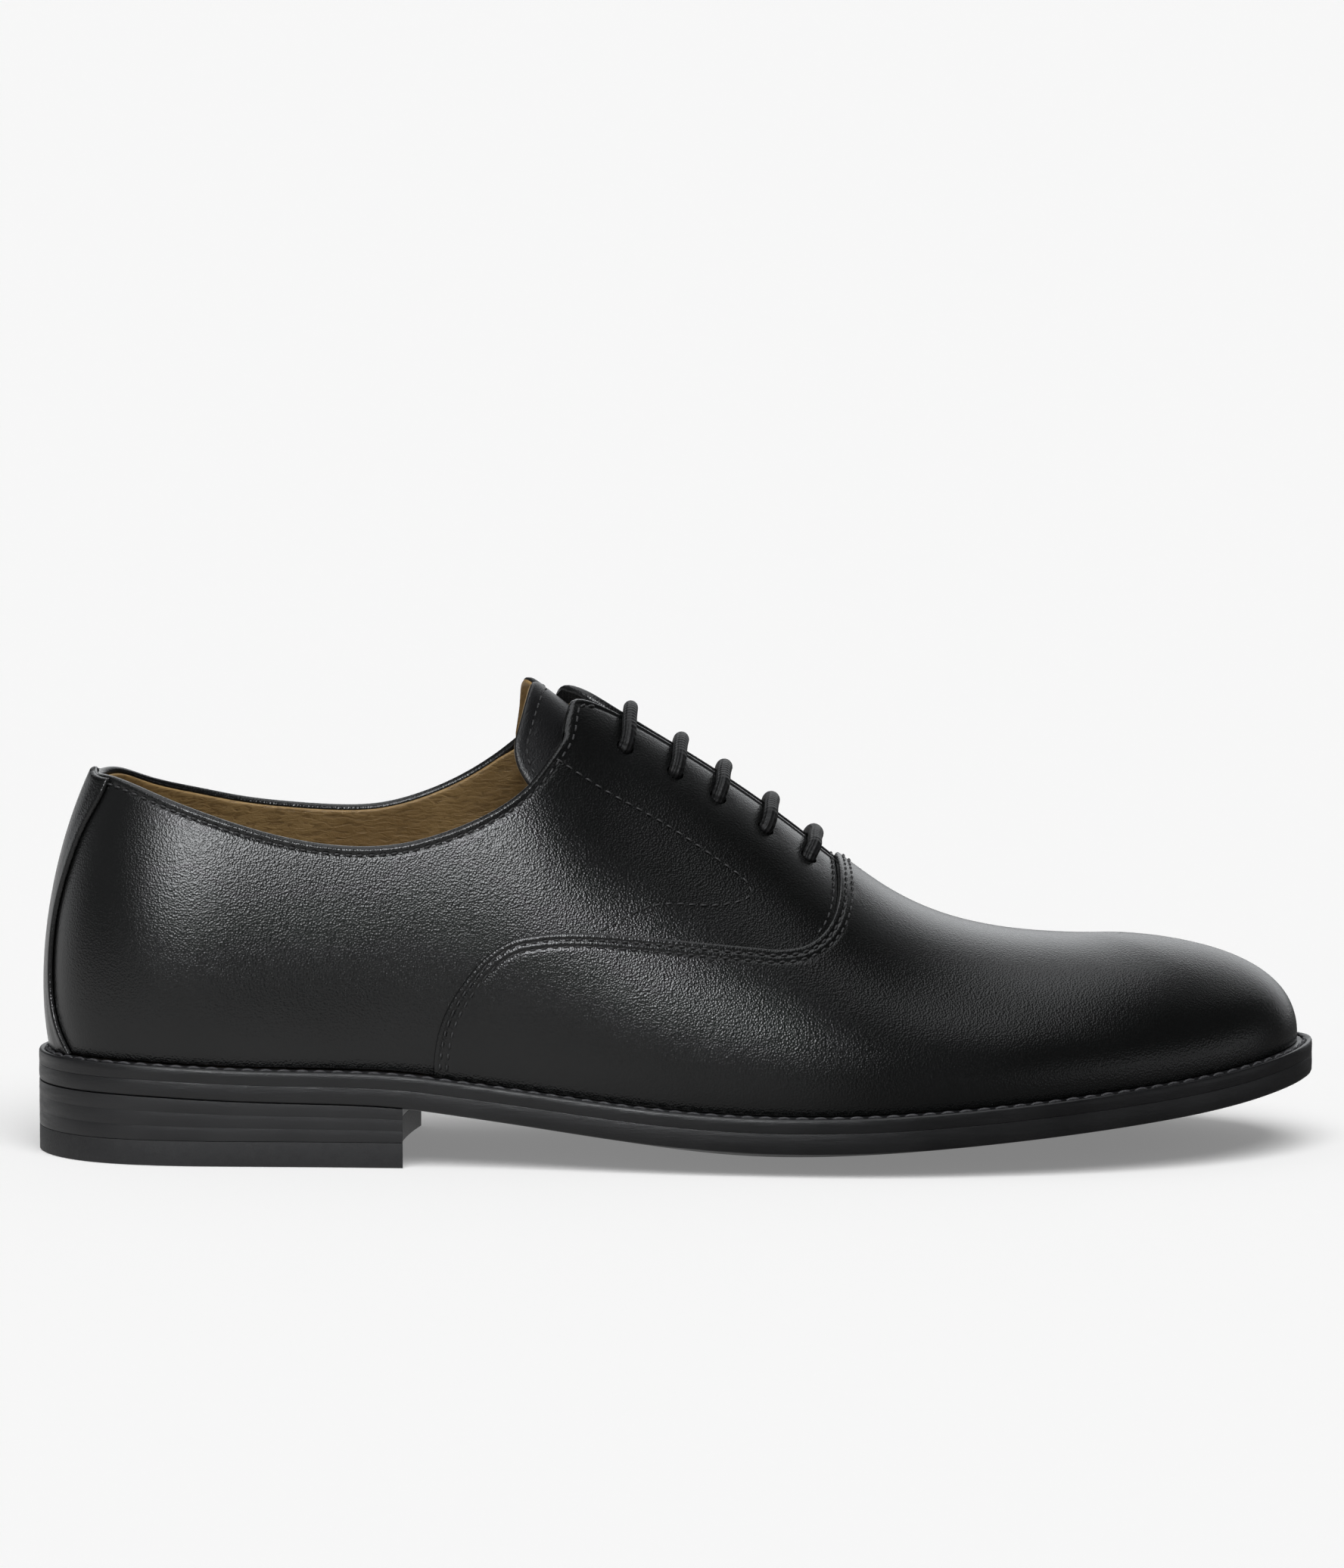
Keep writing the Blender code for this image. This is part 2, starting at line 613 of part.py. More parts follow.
def frames(points):
    """For each point of a run its direction and two directions across it, carried along without twist."""
    p = np.asarray(points, float)
    d = np.gradient(p, axis=0)
    d /= np.linalg.norm(d, axis=1, keepdims=True)
    a = np.cross(d[0], (0.3, 0.1, 1.0))
    across = []
    for direction in d:
        a = a - direction * a.dot(direction)
        a /= np.linalg.norm(a)
        across.append(a)
    across = np.array(across)
    return d, across, np.cross(d, across)


def bands(rings, around, closed=False):
    """Faces between rings of around points each, the last joined to the first if closed."""
    faces = []
    for i in range(rings if closed else rings - 1):
        a, b = i * around, (i + 1) % rings * around
        faces += [(a + j, a + (j + 1) % around, b + (j + 1) % around, b + j) for j in range(around)]
    return faces


def cord(name, points, radius, group, look, around=7):
    """A round cord along points, with a radius at each."""
    p = np.asarray(points, float)
    _, a, b = frames(p)
    turn = np.linspace(0, 2 * math.pi, around, endpoint=False)
    ring = a[:, None] * np.cos(turn)[None, :, None] + b[:, None] * np.sin(turn)[None, :, None]
    r = np.broadcast_to(np.asarray(radius, float), (len(p),))[:, None, None]
    verts = (p[:, None] + ring * r).reshape(-1, 3)
    faces = bands(len(p), around)
    faces += [tuple(range(around))[::-1], tuple((len(p) - 1) * around + j for j in range(around))]
    return add(name, mesh_of(name, verts, faces), group, look)


def eyelet_points(side):
    """Middle of each eyelet on the outer face, with the outward normal."""
    goal = side_view(LATERAL, EYELETS)
    return [(last(side, *uv), normal(side, *uv)) for uv in goal]


def holes(name, side, radius, group):
    """One cutter with five pins through the facing."""
    mesh = bpy.data.meshes.new(name)
    bm = bmesh.new()
    for centre, n in eyelet_points(side):
        before = set(bm.verts)
        wide = radius * MM
        bmesh.ops.create_cone(bm, cap_ends=True, segments=12, radius1=wide, radius2=wide, depth=16 * MM)
        fresh = [v for v in bm.verts if v not in before]
        turn = up_to(n)
        bmesh.ops.transform(bm, matrix=turn, verts=fresh)
        bmesh.ops.translate(bm, vec=place(centre - n * 3), verts=fresh)
    bm.to_mesh(mesh)
    bm.free()
    cutter = add(name, mesh, group, smooth=False)
    cutter.hide_render = True
    cutter.display_type = "WIRE"
    return cutter


def up_to(direction):
    return Vector((0, 0, 1)).rotation_difference(Vector(direction)).to_matrix().to_4x4()


def cut(target, cutter):
    modifier = target.modifiers.new("cut_" + cutter.name, "BOOLEAN")
    modifier.operation = "DIFFERENCE"
    modifier.solver = "EXACT"
    modifier.object = cutter


def make_eyelets(group, cutters, looks):
    for word, side in SIDES.items():
        narrow = holes(f"cut_leather_{word}", side, HOLE_RADIUS, cutters)
        wide = holes(f"cut_inside_{word}", side, EYELET_RADIUS + GAP, cutters)
        cut(bpy.data.objects[f"quarter_{word}"], narrow)
        cut(bpy.data.objects[f"facing_stay_{word}"], wide)
        cut(bpy.data.objects[f"quarter_lining_{word}"], wide)
        for i, (centre, n) in enumerate(eyelet_points(side)):
            eyelet(f"eyelet_{word}_{i + 1}", centre, n, group, looks["steel"])


def eyelet(name, centre, n, group, look):
    """A rolled ring under the leather, drawn by turning its section about the hole's axis."""
    section = [(HOLE_RADIUS, 3.0), (EYELET_RADIUS, 3.0), (EYELET_RADIUS, 4.7), (HOLE_RADIUS, 4.7)]
    around = 10
    a = np.cross(n, (0, 0, 1))
    a /= np.linalg.norm(a)
    b = np.cross(n, a)
    verts = []
    for k in range(around):
        w = 2 * math.pi * k / around
        verts += [centre + (a * math.cos(w) + b * math.sin(w)) * r - n * h for r, h in section]
    return add(name, mesh_of(name, np.array(verts), bands(around, 4, closed=True)), group, look)


def hole(side, row):
    """Last coordinates of an eyelet."""
    return side_view(LATERAL, EYELETS[row:row + 1])[0]


def bar(row, start):
    """A lace bar from the hole on the start side, over the facings, to the other side's hole."""
    uv = hole(LATERAL, row)
    legs = []
    for side in (start, -start):
        a, n = last(side, *uv), normal(side, *uv)
        rise = [below(side, uv + (LACE_LEAN * w, (1 - uv[1]) * w), LACE_LIFT) for w in (0.16, 0.36, 0.68)]
        legs.append([a - n * 4.9, a - n * 1.6] + rise)
    peak = below(LATERAL, np.array([uv[0] + LACE_LEAN, 1.0]), LACE_LIFT)
    return legs[0] + [peak] + legs[1][::-1]


def run(side, first, second, shift):
    """The lace under the facing from one hole to another on the same side, shifted to pass others."""
    a, b = hole(side, first), hole(side, second)
    points = []
    for w in (0.16, 0.3, 0.5, 0.7, 0.84):
        uv = a * (1 - w) + b * w + (0, shift * math.sin(math.pi * w) ** 0.5)
        points.append(below(side, uv, RUN_DEPTH))
    return points


def tail(side, row):
    """The lace's end, tucked down inside from a hole."""
    uv = hole(side, row)
    return [below(side, uv - (0, drop), RUN_DEPTH + 0.1) for drop in (0.04, 0.08, 0.13, 0.18)]


def lace_path():
    """One lace: tucked end, five bars with runs between them, tucked end; and its radius there."""
    legs = [(tail(LATERAL, 1)[::-1], False),
            (bar(1, LATERAL), True),
            (run(MEDIAL, 1, 3, -RUN_SHIFT), False),
            (bar(3, MEDIAL), True),
            (run(LATERAL, 3, 4, 0), False),
            (bar(4, LATERAL), True),
            (run(MEDIAL, 4, 2, RUN_SHIFT), False),
            (bar(2, MEDIAL), True),
            (run(LATERAL, 2, 0, RUN_SHIFT), False),
            (bar(0, LATERAL), True),
            (tail(MEDIAL, 0), False)]
    points = np.concatenate([leg for leg, _ in legs])
    widths = [1.1] + [LACE_RADIUS] * 9 + [1.1]
    thick = np.concatenate([widths if full else [RUN_RADIUS] * len(leg) for leg, full in legs])
    s = lengths(points)
    fine = np.linspace(0, s[-1], 4000)
    path = spline(s, points)(fine)
    d = lengths(path)
    at = np.linspace(0, d[-1], int(d[-1] / LACE_STEP) + 1)
    path = np.stack([np.interp(at, d, path[:, i]) for i in range(3)], 1)
    return path, np.interp(np.interp(at, d, fine), s, thick)


def make_lace(group, looks):
    path, radius = lace_path()
    cord("lace", path, radius, group, looks["cord"])
    for word, side, row in (("1", LATERAL, 1), ("2", MEDIAL, 0)):
        uv = hole(side, row)
        tip = [below(side, uv - (0, drop), RUN_DEPTH + 0.1) for drop in (0.186, 0.22, 0.26, 0.30)]
        cord(f"aglet_{word}", tip, RUN_RADIUS, group, looks["steel"])


def make_nails(group, cutters, look):
    """Nails through the lifts into the outsole, each in its own hole."""
    mesh = bpy.data.meshes.new("cut_nails")
    bm = bmesh.new()
    for i, (x, y) in enumerate(NAILS):
        top = float(sole_bottom(np.array([x]))[0]) + 3.0
        bottom = HEEL_FLAT + 2 * GAP
        before = set(bm.verts)
        wide = (NAIL_RADIUS + GAP) * MM
        bmesh.ops.create_cone(bm, cap_ends=True, segments=8, radius1=wide, radius2=wide, depth=30 * MM)
        bmesh.ops.translate(bm, vec=place((x, y, 16)), verts=[v for v in bm.verts if v not in before])
        pin = bmesh.new()
        bmesh.ops.create_cone(pin, cap_ends=True, segments=8, radius1=NAIL_RADIUS * MM,
                              radius2=NAIL_RADIUS * 0.6 * MM, depth=(top - bottom) * MM)
        bmesh.ops.translate(pin, vec=place((x, y, (top + bottom) / 2)), verts=pin.verts)
        nail = bpy.data.meshes.new(f"heel_nail_{i + 1}")
        pin.to_mesh(nail)
        pin.free()
        add(nail.name, nail, group, look)
    bm.to_mesh(mesh)
    bm.free()
    cutter = add("cut_nails", mesh, cutters, smooth=False)
    cutter.hide_render = True
    cutter.display_type = "WIRE"
    for name in ("heel_lift_1", "heel_lift_2", "heel_lift_3", "outsole"):
        cut(bpy.data.objects[name], cutter)


def put_origin(thing, point):
    """Moves an object's origin to a point without moving the object."""
    at = place(point)
    for vertex in thing.data.vertices:
        vertex.co.x -= at[0]
        vertex.co.y -= at[1]
        vertex.co.z -= at[2]
    thing.location = at


def shank(group, cutters, cork, look):
    """The steel strip that stiffens the waist, and its slot in the cork."""
    x = np.linspace(38, 146, 13)
    path = np.stack([x, 0 * x - 1.0, welt_z(x) - 1.9], 1)
    flat_bar("shank", path, 8.0, 0.6, group, look)
    slot = flat_bar("cut_shank", path + (0.5, 0, 0), 8.5, 2.2, cutters, look)
    slot.hide_render = True
    slot.display_type = "WIRE"
    cut(cork, slot)


def flat_bar(name, path, half, thick, group, look):
    corners = np.array([(0, -half, -thick), (0, half, -thick), (0, half, thick), (0, -half, thick)])
    verts = (path[:, None] + corners).reshape(-1, 3)
    top = len(verts)
    faces = bands(len(path), 4) + [(0, 1, 2, 3), (top - 1, top - 2, top - 3, top - 4)]
    return add(name, mesh_of(name, verts, faces), group, look, smooth=False)


def main():
    for thing in list(bpy.data.objects):
        bpy.data.objects.remove(thing)
    group = bpy.data.collections.new(SHOE)
    cutters = bpy.data.collections.new("cutters")
    for made in (group, cutters):
        bpy.context.scene.collection.children.link(made)
    looks = {"leather": material("black_calf", (0.012, 0.012, 0.013), 0.38),
             "lining": material("tan_lining", (0.42, 0.24, 0.09), 0.6),
             "canvas": material("canvas", (0.55, 0.50, 0.42), 0.9),
             "board": material("fibre_board", (0.35, 0.25, 0.16), 0.8),
             "welt": material("black_welt", (0.014, 0.014, 0.015), 0.45),
             "rubber": material("black_rubber", (0.016, 0.016, 0.017), 0.55),
             "stack": material("heel_stack", (0.016, 0.016, 0.018), 0.5),
             "cork": material("cork", (0.45, 0.30, 0.16), 0.9),
             "steel": material("steel", (0.45, 0.45, 0.46), 0.35, 1.0),
             "cord": material("waxed_cord", (0.010, 0.010, 0.011), 0.5)}
    make_upper(group, looks)
    make_tongue(group, looks)
    cork = make_bottom(group, looks)
    make_heel(group, looks)
    make_eyelets(group, cutters, looks)
    make_lace(group, looks)
    make_nails(group, cutters, looks["steel"])
    shank(group, cutters, cork, looks["steel"])


main()
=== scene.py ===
import json
import math

import bmesh
import bpy
import numpy as np
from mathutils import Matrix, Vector


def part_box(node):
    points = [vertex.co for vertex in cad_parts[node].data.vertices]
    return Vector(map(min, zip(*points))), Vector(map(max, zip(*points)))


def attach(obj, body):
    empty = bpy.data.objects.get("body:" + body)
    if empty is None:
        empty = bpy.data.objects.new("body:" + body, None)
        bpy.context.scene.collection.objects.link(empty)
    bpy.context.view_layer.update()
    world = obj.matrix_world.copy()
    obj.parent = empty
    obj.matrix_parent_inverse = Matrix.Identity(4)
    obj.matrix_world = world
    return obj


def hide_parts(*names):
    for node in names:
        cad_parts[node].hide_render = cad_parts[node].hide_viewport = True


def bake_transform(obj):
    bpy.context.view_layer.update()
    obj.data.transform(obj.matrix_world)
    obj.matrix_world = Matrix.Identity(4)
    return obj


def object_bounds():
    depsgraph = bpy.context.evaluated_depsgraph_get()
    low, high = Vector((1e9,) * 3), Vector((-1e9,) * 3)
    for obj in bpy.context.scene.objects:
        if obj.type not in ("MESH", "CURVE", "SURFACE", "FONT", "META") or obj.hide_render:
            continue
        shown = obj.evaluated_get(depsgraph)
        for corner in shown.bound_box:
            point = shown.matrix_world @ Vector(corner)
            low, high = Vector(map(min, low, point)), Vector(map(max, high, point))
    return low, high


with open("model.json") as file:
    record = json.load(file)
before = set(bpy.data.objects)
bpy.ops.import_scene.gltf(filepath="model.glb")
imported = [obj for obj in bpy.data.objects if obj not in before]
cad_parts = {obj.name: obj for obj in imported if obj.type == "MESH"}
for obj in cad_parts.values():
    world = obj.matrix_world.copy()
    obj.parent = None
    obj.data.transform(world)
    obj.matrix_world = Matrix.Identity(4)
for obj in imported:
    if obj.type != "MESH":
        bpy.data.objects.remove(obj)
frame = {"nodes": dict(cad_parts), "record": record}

CAD_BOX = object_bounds()
MM = 0.001
BACK = 0.9                      # how far the sole reaches behind x = 0
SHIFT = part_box("outsole")[0].x / MM + BACK
LATERAL, MEDIAL = -1, 1
SIDES = {"lateral": LATERAL, "medial": MEDIAL}
SHOE, TONGUE_BODY, FOREPART = "shoe", "tongue", "forepart"
FLEX = (190.0, 240.0)           # x between which the shoe bends
SPAN = (340, 90)                # about how long u and t are

# ---- the design's dimensions

# The upper's outline where it meets the welt, (x, y), from the back round the lateral side.
PLAN = [(1.3, 0), (4.5, -13), (13, -22.8), (27, -28.6), (50, -30.6), (80, -31.6), (110, -34.6),
        (145, -41.8), (175, -46.6), (202, -48.4), (228, -46.4), (252, -41.4), (274, -32.4),
        (292.5, -17), (301.8, 6), (297.5, 20.5), (283, 35), (261, 45), (236, 49.2), (212, 49),
        (186, 44.6), (158, 37.6), (128, 30.4), (100, 27.6), (72, 28.6), (46, 29.6), (27, 28.4),
        (13, 22.8), (4.5, 13)]
TOE_POINT = 14
# Sections of the last: u, the crest's x and z, the lower handle's width and height, then the
# upper handle's width and rise.
SECTIONS = [
    (0.00, 30, 118.0, 4.8, 26, 24.7, -24),
    (0.07, 31.5, 119.0, 5.2, 26, 23, -20),
    (0.16, 43, 124.0, 5.0, 28, 20, -10),
    (0.30, 82, 130.0, 5.0, 30, 20, -2),
    (0.40, 115, 123.5, 5.5, 31, 23.5, 0),
    (0.46, 134, 110.2, 5.5, 29, 22.5, 0),
    (0.53, 158, 95.0, 5.2, 25, 23, 0),
    (0.60, 182, 78.2, 5.0, 22, 24.5, 0),
    (0.66, 202, 63.0, 4.2, 20, 26.5, 0),
    (0.72, 220, 54.8, 3.5, 18, 28, 0),
    (0.80, 240, 51.4, 2.5, 17, 27, 0),
    (0.90, 253, 51.1, 1.5, 16.5, 24.5, -0.6),
    (1.00, 259, 51.1, 1.2, 17, 24, -1.1)]
CREST_SHIFT = 4.5               # the toe's crest lies this far towards the medial side
WELT_TOP = [(-2, 24.2), (25, 23.9), (50, 22.9), (75, 22.5), (88, 21.9), (100, 20.6), (117, 18.6),
            (144, 15.6), (172, 14.0), (198, 14.4), (230, 16.6), (262, 19.7), (288, 22.8),
            (306, 25.8)]

# Lines on the upper, (x, z) as seen from the side.
TOPLINE = {
    LATERAL: [(17, 91.5), (31.7, 86.7), (46.5, 81.6), (61.2, 77.7), (76, 76.0), (86.7, 76.7),
              (97.7, 79.7), (109, 84.8), (117.6, 91.1), (123.2, 97.8), (126.2, 102.2)],
    MEDIAL: [(16.6, 91.4), (25.6, 87.9), (36.2, 85.2), (47, 82.9), (58, 81.5), (69, 80.7),
             (80, 81), (91, 83.9), (102, 89.1), (110.6, 95), (117, 100.3), (122, 104.6)]}
SEAM_REAR = [(94.5, 23), (96.5, 34), (101.9, 44), (108.3, 51.2), (114.2, 54.6)]
SEAM_ALONG = [(114.2, 54.6), (124, 56.1), (143, 55.6), (164, 53.7), (176, 52.5)]
SEAM_THROAT = [(176, 52.5), (181.5, 53.0), (186.6, 55.5), (190, 60.2), (191.3, 66)]
THROAT_X = 190.8
UNDERLAY_UP = [(104, 21), (105.5, 30), (109.5, 38.5), (114.5, 44), (121, 46.6)]
UNDERLAY_ALONG = [(121, 46.6), (143, 46.4), (164, 44.8), (177, 43.6), (188, 46), (196, 52.5)]
STAY_STITCH = [(123.7, 96.8), (136.6, 88.6), (148.5, 82.1), (160.1, 74.7), (166, 70.7),
               (169.6, 67.6), (170.4, 65.6), (167.8, 63.9), (163, 63), (148.6, 63.2),
               (142.2, 61.2), (137.6, 58.6), (134, 56.6)]
EYELETS = [(140.7, 98.9), (152.6, 92.8), (162.9, 87.0), (174.3, 79.6), (184.7, 72.8)]
# The facings' edges over the instep, (x, distance from the middle).
FACING_AHEAD = [(160, 2.5), (180, 2.5), (199, 2.5)]
FACING = {LATERAL: [(128.8, 10.0), (132.3, 7.0), (138, 4.2), (146, 2.6)] + FACING_AHEAD,
          MEDIAL: [(126.0, 10.2), (129.5, 7.0), (134, 4.2), (142, 2.6)] + FACING_AHEAD}
# Lines on the last itself, (u, t).
HEEL_SEAM, HEEL_TOP = 0.001, 0.695
STRIP_TOP = 0.702
STRIP_EDGE = [(0.053, 0.0), (0.034, 0.12), (0.028, 0.25), (0.028, 0.36), (0.036, 0.47),
              (0.046, 0.56), (0.060, 0.64), (0.062, STRIP_TOP - 0.036)]
TONGUE_EDGE = [(0.640, 0.68), (0.556, 0.575), (0.482, 0.54), (0.437, 0.542), (0.405, 0.558),
               (0.388, 0.600), (0.387, 0.640), (0.391, 0.675)]
TONGUE_ROOT, TONGUE_TIP = 0.022, 0.4255
TRIM_FROM = 0.37
TOPLINE_STITCH_END = {"lateral": 0.455, "medial": 0.447}

# Depths of each layer's faces under the upper's outer face.
VAMP = (0.0, 1.2)
STRIP = (0.2, 1.2)
QUARTER = (1.45, 2.6)
LINING = (3.95, 4.75)
GRIP = (5.0, 5.8)
TONGUE = (7.3, 8.3)
TONGUE_LINING = (8.4, 9.4)
STRIP_FOLD = 2.6
LINING_TRIM = (0.9, 4.0)        # how far the lining stops short of the topline, and of the facing

GAP = 0.3
WELT_THICK = 3.4
OUTSOLE_THICK = 4.5
SOLE_GAP = 0.06
HEEL_FLAT = 6.0
HEEL_LENGTH = 87.5
INSOLE_THICK = 2.4
SOCK_THICK = 0.9
HOLE_RADIUS = 2.15
LACE_RADIUS, LACE_LIFT, LACE_LEAN = 1.75, -0.45, 0.008
END_RADIUS = 1.1
RUN_RADIUS, RUN_DEPTH = 0.75, 5.75
LACE_ORDER = (1, 3, 4, 2, 0)            # rows of holes in the order the lace takes them
RUN_SHIFTS = (-0.05, 0, 0.05, 0.05)     # how far each run between them steps aside, in t


# ---- curves

def unit(v):
    return v / np.linalg.norm(v, axis=-1, keepdims=True)


def smoothstep(x):
    w = np.clip(x, 0, 1)
    return w * w * (3 - 2 * w)


def circle(count):
    return np.linspace(0, 2 * math.pi, count, endpoint=False)


def spline(knots, values, flat=False):
    """Cubic spline through values at knots, natural at its ends, or level there if flat."""
    k = np.asarray(knots, float)
    v = np.asarray(values, float).reshape(len(k), -1)
    n = len(k)
    h = np.diff(k)
    a = np.eye(n)
    b = np.zeros_like(v)
    rise = np.diff(v, axis=0) / h[:, None]
    for i in range(1, n - 1):
        a[i, i - 1:i + 2] = h[i - 1], 2 * (h[i - 1] + h[i]), h[i]
        b[i] = 6 * (rise[i] - rise[i - 1])
    if flat:
        a[0, :2] = 2 * h[0], h[0]
        a[-1, -2:] = h[-1], 2 * h[-1]
        b[0] = 6 * rise[0]
        b[-1] = -6 * rise[-1]
    m = np.linalg.solve(a, b)

    def at(x):
        x = np.asarray(x, float)
        i = np.clip(np.searchsorted(k, x) - 1, 0, n - 2)
        w = h[i][..., None]
        p = (x - k[i])[..., None]
        q = (k[i + 1] - x)[..., None]
        bend = (m[i] * q ** 3 + m[i + 1] * p ** 3) / (6 * w)
        return bend + (v[i] / w - m[i] * w / 6) * q + (v[i + 1] / w - m[i + 1] * w / 6) * p
    return at


def graph(points):
    """A smooth function of one number, through points."""
    curve = spline(*np.array(points, float).T)
    return lambda x: curve(x)[..., 0]


def lengths(points):
    return np.r_[0, np.cumsum(np.linalg.norm(np.diff(points, axis=0), axis=1))]


def pick(at, marks, run):
    """Points of a run that has its own points at marks."""
    return np.stack([np.interp(at, marks, column) for column in run.T], 1)


def resample(run, count):
    d = lengths(run * SPAN)
    return pick(np.linspace(0, 1, count + 1) * d[-1], d, run)


def along(points, count):
    """A run of count + 1 points evenly spaced on a smooth curve through points."""
    p = np.array(points, float)
    s = lengths(p * SPAN)
    return resample(spline(s, p)(np.linspace(0, s[-1], 800)), count)


def spaced(points, pitch, run):
    """A run's points, a pitch apart in space as near as fits a whole number."""
    d = lengths(points)
    return pick(np.linspace(0, d[-1], max(2, round(d[-1] / pitch)) + 1), d, run)


def flat_run(u0, u1, count, t=0.0, ease=1.0):
    u = u0 + (u1 - u0) * np.linspace(0, 1, count + 1) ** ease
    return np.stack([u, np.full_like(u, t)], 1)


def chain(*parts):
    return np.concatenate([parts[0]] + [p[1:] for p in parts[1:]])


def between(a, b, w):
    """A grid from run a, where w is 0, to run b, where w is 1."""
    return a[:, None] * (1 - w)[None, :, None] + b[:, None] * w[None, :, None]


# ---- the last

def closed_plan():
    p = np.array(PLAN * 3, float)
    d = lengths(p)
    n = len(PLAN)
    return spline(d - d[n], p), d[n + TOE_POINT] - d[n], d[2 * n] - d[n]


OUTLINE, TOE_AT, ROUND = closed_plan()


def arc_table(start):
    s = np.linspace(start, TOE_AT, 1500)
    d = lengths(OUTLINE(s))
    return d / d[-1], s


ARCS = {LATERAL: arc_table(0.0), MEDIAL: arc_table(ROUND)}
TABLE = np.array(SECTIONS, float)
CREST = spline(TABLE[:, 0], TABLE[:, 1:3])
SHAPE = spline(TABLE[:, 0], TABLE[:, 3:], flat=True)
welt_z = graph(WELT_TOP)


def foot(side, u):
    """Points of the plan's outline and the directions outwards from it."""
    share, s = ARCS[side]
    at = np.interp(u, share, s)
    d = unit(OUTLINE(at + 0.05) - OUTLINE(at - 0.05))
    return OUTLINE(at), np.stack([d[..., 1], -d[..., 0]], -1)


def last(side, u, t):
    """A point of the upper's outer face, on a curve from the welt up to the crest."""
    u = np.asarray(u, float)
    t = np.asarray(t, float)[..., None]
    f, n = foot(side, u)
    zf = welt_z(f[..., 0]) + GAP
    crest = CREST(u)
    cy = CREST_SHIFT * smoothstep((u - 0.62) / 0.38)
    out1, up1, out2, drop = np.moveaxis(SHAPE(u), -1, 0)
    step = CREST(u + 1e-3) - CREST(u - 1e-3)
    slope = smoothstep((u - 0.32) / 0.16) * step[..., 1] / step[..., 0]
    p3 = np.stack([crest[..., 0], cy, crest[..., 1]], -1)
    away = unit(f - p3[..., :2]) * out2[..., None]
    p0 = np.concatenate([f, zf[..., None]], -1)
    p1 = np.concatenate([f + n * out1[..., None], (zf + up1)[..., None]], -1)
    handle = np.concatenate([away, (drop + slope * away[..., 0])[..., None]], -1)
    s = 1 - t
    return p0 * s ** 3 + p1 * 3 * t * s * s + (p3 + handle) * 3 * t * t * s + p3 * t ** 3


def face(side, run):
    return last(side, run[..., 0], run[..., 1])


def slopes(side, u, t):
    """How a point of the last moves with u and with t."""
    e = 1e-3
    u0, u1, t0, t1 = [np.clip(v + step, 0, 1) for v in (u, t) for step in (-e, e)]
    return ((last(side, u1, t) - last(side, u0, t)) / (u1 - u0)[..., None],
            (last(side, u, t1) - last(side, u, t0)) / (t1 - t0)[..., None])


def normal(side, u, t):
    u, t = np.broadcast_arrays(np.asarray(u, float), np.minimum(t, 0.99))
    return unit(np.cross(*slopes(side, u, t)) * -side)


def below(side, run, depth):
    """Points at a depth under the outer face, which may differ from point to point."""
    u, t = run[..., 0], run[..., 1]
    n = normal(side, u, t)
    shared = (u < 1e-6) | (u > 1 - 1e-6) | (t > 1 - 1e-6)
    n = unit(np.where(shared[..., None], n + normal(-side, u, t), n))
    return last(side, u, t) - n * np.asarray(depth, float)[..., None]


def locate(side, points, axes):
    """The (u, t) of points that are given by two of their coordinates."""
    gu, gt = np.meshgrid(np.linspace(0, 1, 161), np.linspace(0, 1, 81), indexing="ij")
    grid = last(side, gu, gt)[..., axes]
    e, stride = 1e-4, 0.03
    found = []
    for goal in points:
        i = np.argmin(((grid - goal) ** 2).sum(-1))
        uv = np.array([gu.flat[i], gt.flat[i]])
        for _ in range(12):
            here = last(side, *uv)[axes]
            over = (last(side, uv[0] + e, uv[1])[axes] - here) / e
            up = (last(side, uv[0], uv[1] + e)[axes] - here) / e
            step = np.linalg.lstsq(np.stack([over, up], 1), goal - here, rcond=None)[0]
            uv = np.clip(uv + np.clip(step, -stride, stride), 0, 1)
        found.append(uv)
    return np.array(found)


def side_view(side, points):
    return locate(side, np.array(points, float), [0, 2])


def top_view(side, points):
    return locate(side, np.array(points, float) * (1, side), [0, 1])


def on_feather(side, x):
    u = np.linspace(0, 1, 1001)
    return float(np.interp(x, foot(side, u)[0][:, 0], u))


def throat_u():
    u = np.linspace(0.5, 0.8, 601)
    return float(np.interp(THROAT_X, CREST(u)[:, 0], u))


def inset(side, run, distance):
    """A run moved across the surface: to its left, seen from outside, if positive."""
    u, t = run[:, 0], run[:, 1]
    ahead = unit(np.gradient(last(side, u, t), axis=0))
    left = np.cross(normal(side, u, t), ahead) * distance
    moved = [np.linalg.lstsq(np.stack([a, b], 1), m, rcond=None)[0]
             for a, b, m in zip(*slopes(side, u, t), left)]
    return run + np.array(moved)


# ---- meshes

def place(points):
    return (np.asarray(points, float) + (SHIFT, 0, 0)) * MM


def hang(name, data, collection=bpy.context.scene.collection):
    thing = bpy.data.objects.new(name, data)
    collection.objects.link(thing)
    return thing


PIECES = bpy.data.collections.new("shoe_pieces")
bpy.context.scene.collection.children.link(PIECES)


def raw_mesh(name, verts, faces):
    mesh = bpy.data.meshes.new(name)
    mesh.from_pydata(place(verts).tolist(), [], faces)
    mesh.shade_smooth()
    return mesh


def mesh_of(name, verts, faces, merge=2e-6, sharp=None):
    """A mesh with doubled points merged, its normals outwards and its edges sharp over an angle."""
    mesh = raw_mesh(name, verts, faces)
    bm = bmesh.new()
    bm.from_mesh(mesh)
    bmesh.ops.remove_doubles(bm, verts=bm.verts, dist=merge)
    bmesh.ops.recalc_face_normals(bm, faces=bm.faces)
    bm.to_mesh(mesh)
    bm.free()
    if sharp:
        mesh.set_sharp_from_angle(angle=math.radians(sharp))
    return mesh


